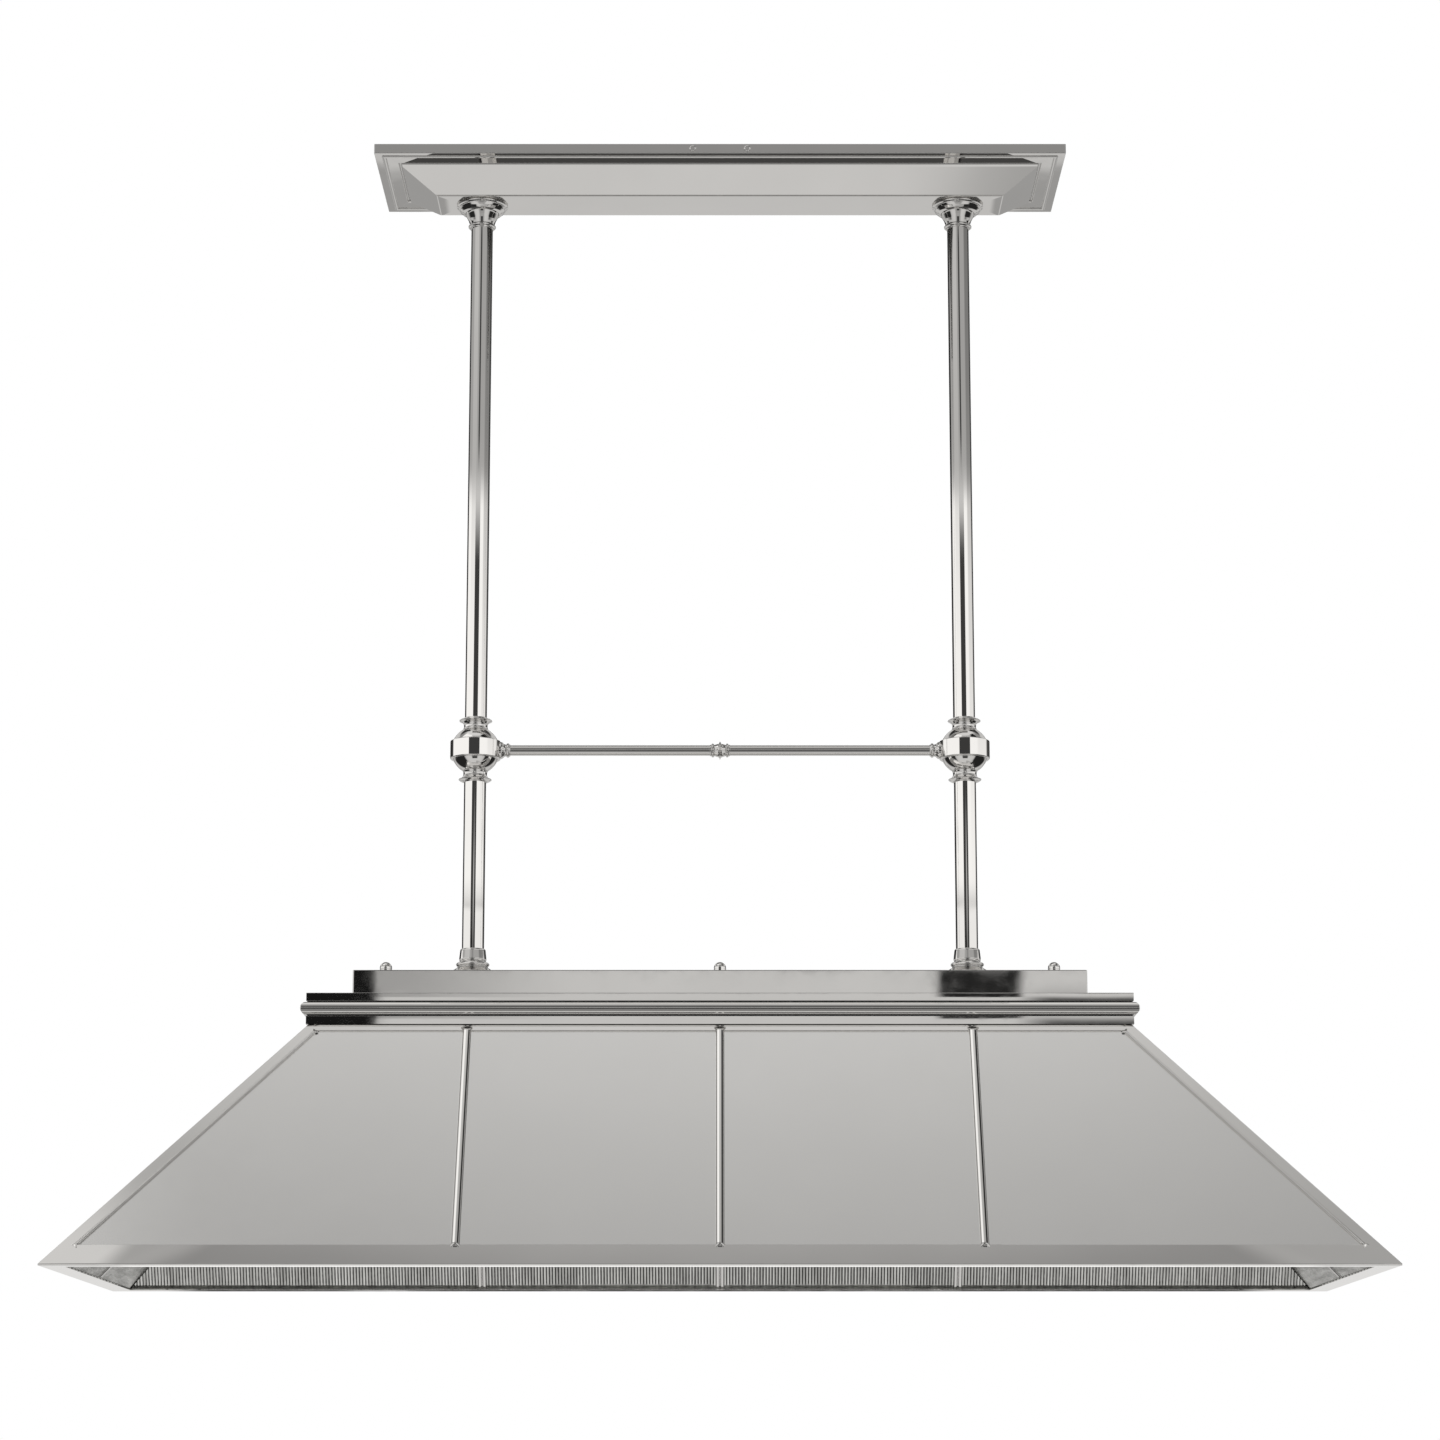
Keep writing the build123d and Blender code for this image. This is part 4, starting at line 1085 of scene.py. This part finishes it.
# What the metal mirrors, in degrees: azimuth from the front (right is positive), elevation,
# soft edges of both, and brightness. A later patch covers an earlier one.
ALL_ROUND = (-400, 400)
STUDIO = (
    # below the light
    (ALL_ROUND, (-90, -5.0), (1, 1), 0.60),
    ((-45, 45), (-76, -5.0), (6, 6), 0.66),
    ((-20, 20), (-37, -5), (6, 3), 0.36),
    ((58, 135), (-74, -10), (6, 6), 0.02),
    ((-135, -58), (-74, -10), (6, 6), 0.02),
    (ALL_ROUND, (-90, -77), (5, 5), 0.03),
    ((-16, 16), (-48, -37), (4, 2), 0.05),
    ((11, 60), (-76, -60), (3, 3), 0.42),
    ((-9, 9), (-22, -3), (1.5, 2), 0.05),
    ((-400, -90), (-77, -56), (10, 2), 0.07),
    ((90, 400), (-77, -56), (10, 2), 0.07),
    ((-175.2, -150), (-20.85, -15), (0.2, 0.1), 0.36),
    ((150, 175.2), (-20.85, -15), (0.2, 0.1), 0.36),
    ((-172, -140), (-9, 2), (2, 2), 0.36),
    ((140, 172), (-9, 2), (2, 2), 0.36),
    ((-400, -165), (-4.2, -2.9), (1.5, 0.1), 0.76),
    ((165, 400), (-4.2, -2.9), (1.5, 0.1), 0.76),
    ((-400, -170.6), (-4.2, -3.45), (0.2, 0.02), 1.0),
    ((170.6, 400), (-4.2, -3.45), (0.2, 0.02), 1.0),
    ((-400, -171.6), (-3.33, -2.9), (0.4, 0.02), 0.02),
    ((171.6, 400), (-3.33, -2.9), (0.4, 0.02), 0.02),
    # level
    ((-110, 110), (-1.6, 3.48), (5, 0.06), 0.02),
    (ALL_ROUND, (3.5, 9.3), (1, 0.06), 0.64),
    (ALL_ROUND, (8.42, 9.3), (1, 0.05), 1.0),
    ((-8, -3.8), (7.84, 8.36), (1.6, 0.04), 0.40),
    (ALL_ROUND, (9.4, 16.0), (1, 0.4), 1.10),
    (ALL_ROUND, (16.3, 30.0), (1, 0.8), 0.42),
    ((-75, -25), (16.3, 30.0), (4, 4), 0.60),
    ((60, 400), (16.3, 30.0), (8, 8), 0.16),
    # above
    (ALL_ROUND, (30.0, 57.3), (1, 1.2), 0.30),
    (ALL_ROUND, (57.6, 95.0), (1, 1), 0.42),
    (ALL_ROUND, (63.3, 105.0), (1, 4), 0.76),
    ((-32, -19.4), (56.6, 61.0), (0.8, 1.0), 0.72),
    # narrow stands and gaps
    (ALL_ROUND, (22.8, 29.0), (1, 0.4), 1.10),
    ((-27, 22), (9.2, 15.6), (0.9, 0.9), 0.05),
    ((-27, 22), (8.38, 10.5), (0.9, 0.05), 0.05),
    ((-4, 7), (9.0, 10.4), (1, 1), 0.55),
    ((-8, 8), (16.5, 20.2), (2, 0.4), 0.06),
    ((-8, 8), (20.3, 22.4), (2, 0.2), 0.30),
    ((-16, 12), (22.6, 34.0), (2, 0.3), 0.06),
    ((118, 400), (8.0, 21.8), (8, 0.8), 0.06),
    ((-400, -119), (8.0, 21.8), (6, 0.8), 0.03),
    ((118, 400), (45.0, 72.0), (8, 3), 0.05),
    ((-400, -119), (45.0, 72.0), (6, 3), 0.03),
    ((112, 400), (23.5, 42.0), (8, 1.5), 0.62),
    ((-400, -112), (23.5, 42.0), (6, 1.5), 0.62),
    ((-90, -26), (44.0, 66.0), (4, 4), 1.10),
    ((48, 84), (40.0, 66.0), (3, 3), 0.01),
    ((-14, -5.5), (6.2, 8.9), (0.05, 0.12), 0.01),
    ((3.5, 4.85), (7.8, 8.36), (0.08, 0.05), 0.02),
    ((5.0, 14), (6.2, 7.8), (0.35, 0.35), 0.10),
)
STUDIO_BASE = 0.5


def studio_world():
    """Soft studio all round: bright walls, a few dark gaps, and plain white behind the object."""
    world = bpy.data.worlds.new("studio")
    bpy.context.scene.world = world
    world.use_nodes = True
    nodes, links = world.node_tree.nodes, world.node_tree.links
    coords = nodes.new("ShaderNodeTexCoord")
    split = nodes.new("ShaderNodeSeparateXYZ")
    links.new(coords.outputs["Generated"], split.inputs["Vector"])
    x, y, z = (split.outputs[axis] for axis in "XYZ")
    to_degrees = 180 / pi
    front = maths(nodes, links, "MULTIPLY", y, -1.0)
    azimuth = maths(nodes, links, "MULTIPLY", maths(nodes, links, "ARCTAN2", x, front), to_degrees)
    elevation = maths(nodes, links, "MULTIPLY", maths(nodes, links, "ARCSINE", z), to_degrees)
    shade = STUDIO_BASE
    for across, upright, (soft_across, soft_upright), brightness in STUDIO:
        mask = maths(
            nodes, links, "MULTIPLY",
            window(nodes, links, azimuth, *across, soft_across),
            window(nodes, links, elevation, *upright, soft_upright),
        )
        mix = nodes.new("ShaderNodeMix")
        mix.data_type = "FLOAT"
        links.new(mask, mix.inputs["Factor"])
        if isinstance(shade, float):
            mix.inputs["A"].default_value = shade
        else:
            links.new(shade, mix.inputs["A"])
        mix.inputs["B"].default_value = brightness
        shade = mix.outputs["Result"]
    studio = nodes["Background"]
    links.new(shade, studio.inputs["Strength"])
    studio.inputs["Color"].default_value = (1.0, 0.99, 0.975, 1)
    white = nodes.new("ShaderNodeBackground")
    white.inputs["Color"].default_value = (1, 1, 1, 1)
    sight = nodes.new("ShaderNodeLightPath")
    choice = nodes.new("ShaderNodeMixShader")
    links.new(sight.outputs["Is Camera Ray"], choice.inputs["Fac"])
    links.new(studio.outputs["Background"], choice.inputs[1])
    links.new(white.outputs["Background"], choice.inputs[2])
    links.new(choice.outputs["Shader"], nodes["World Output"].inputs["Surface"])


def soft_light(name, place, aim, width, power):
    data = bpy.data.lights.new(name, "AREA")
    data.shape = "SQUARE"
    data.size = width
    data.energy = power
    lamp = bpy.data.objects.new(name, data)
    lamp.location = place
    lamp.rotation_euler = (Vector(aim) - Vector(place)).to_track_quat("-Z", "Y").to_euler()
    lamp.visible_glossy = False
    bpy.context.scene.collection.objects.link(lamp)


def camera():
    """Low viewpoint in front, looking slightly up, through a long lens."""
    distance = 4.0417
    drop = 0.2583
    tilt = 10.697
    data = bpy.data.cameras.new("camera")
    data.lens = 90
    data.sensor_width = 36
    data.shift_y = 0.07
    data.clip_end = 200
    eye = bpy.data.objects.new("camera", data)
    eye.location = (0, -RIM_Y - distance, SHADE_BOTTOM - drop)
    eye.rotation_euler = (radians(90 + tilt), 0, 0)
    bpy.context.scene.collection.objects.link(eye)
    bpy.context.scene.camera = eye


# ------------------------------------------------------------------ making
camera()
floor()
studio_world()
soft_light("key", (-2.5, -3.0, 2.5), (0, 0, -1.2), 3.0, 140)
soft_light("fill", (3.0, 2.5, 1.5), (0, 0, -1.2), 3.0, 90)
bpy.context.scene.view_settings.view_transform = "Standard"

canopy()
for side in SIDES:
    swivel(side)
    stems(side)
    coupling(side, 1)
    coupling(side, -1)
    hub(side)
    bar_socket(side)
    crossbar(side)
    base_collar(side)
knuckle()
plinth()
cornice()
dome_nuts()
shade_frame()
ribs("front")
ribs("back")
hip_beads()
ribbed_glass()
glazing_bars()
lampholders()
lamps()
keep("ceiling_bracket", "canopy_screws", "ground_screw", "terminal_block", "canopy_leads", "swivel_nuts")
keep("stem_nuts", "supply_cable", "tie_rods", "tray_nuts", "lamp_tray")
keep("front_panel", "back_panel", "left_panel", "right_panel")
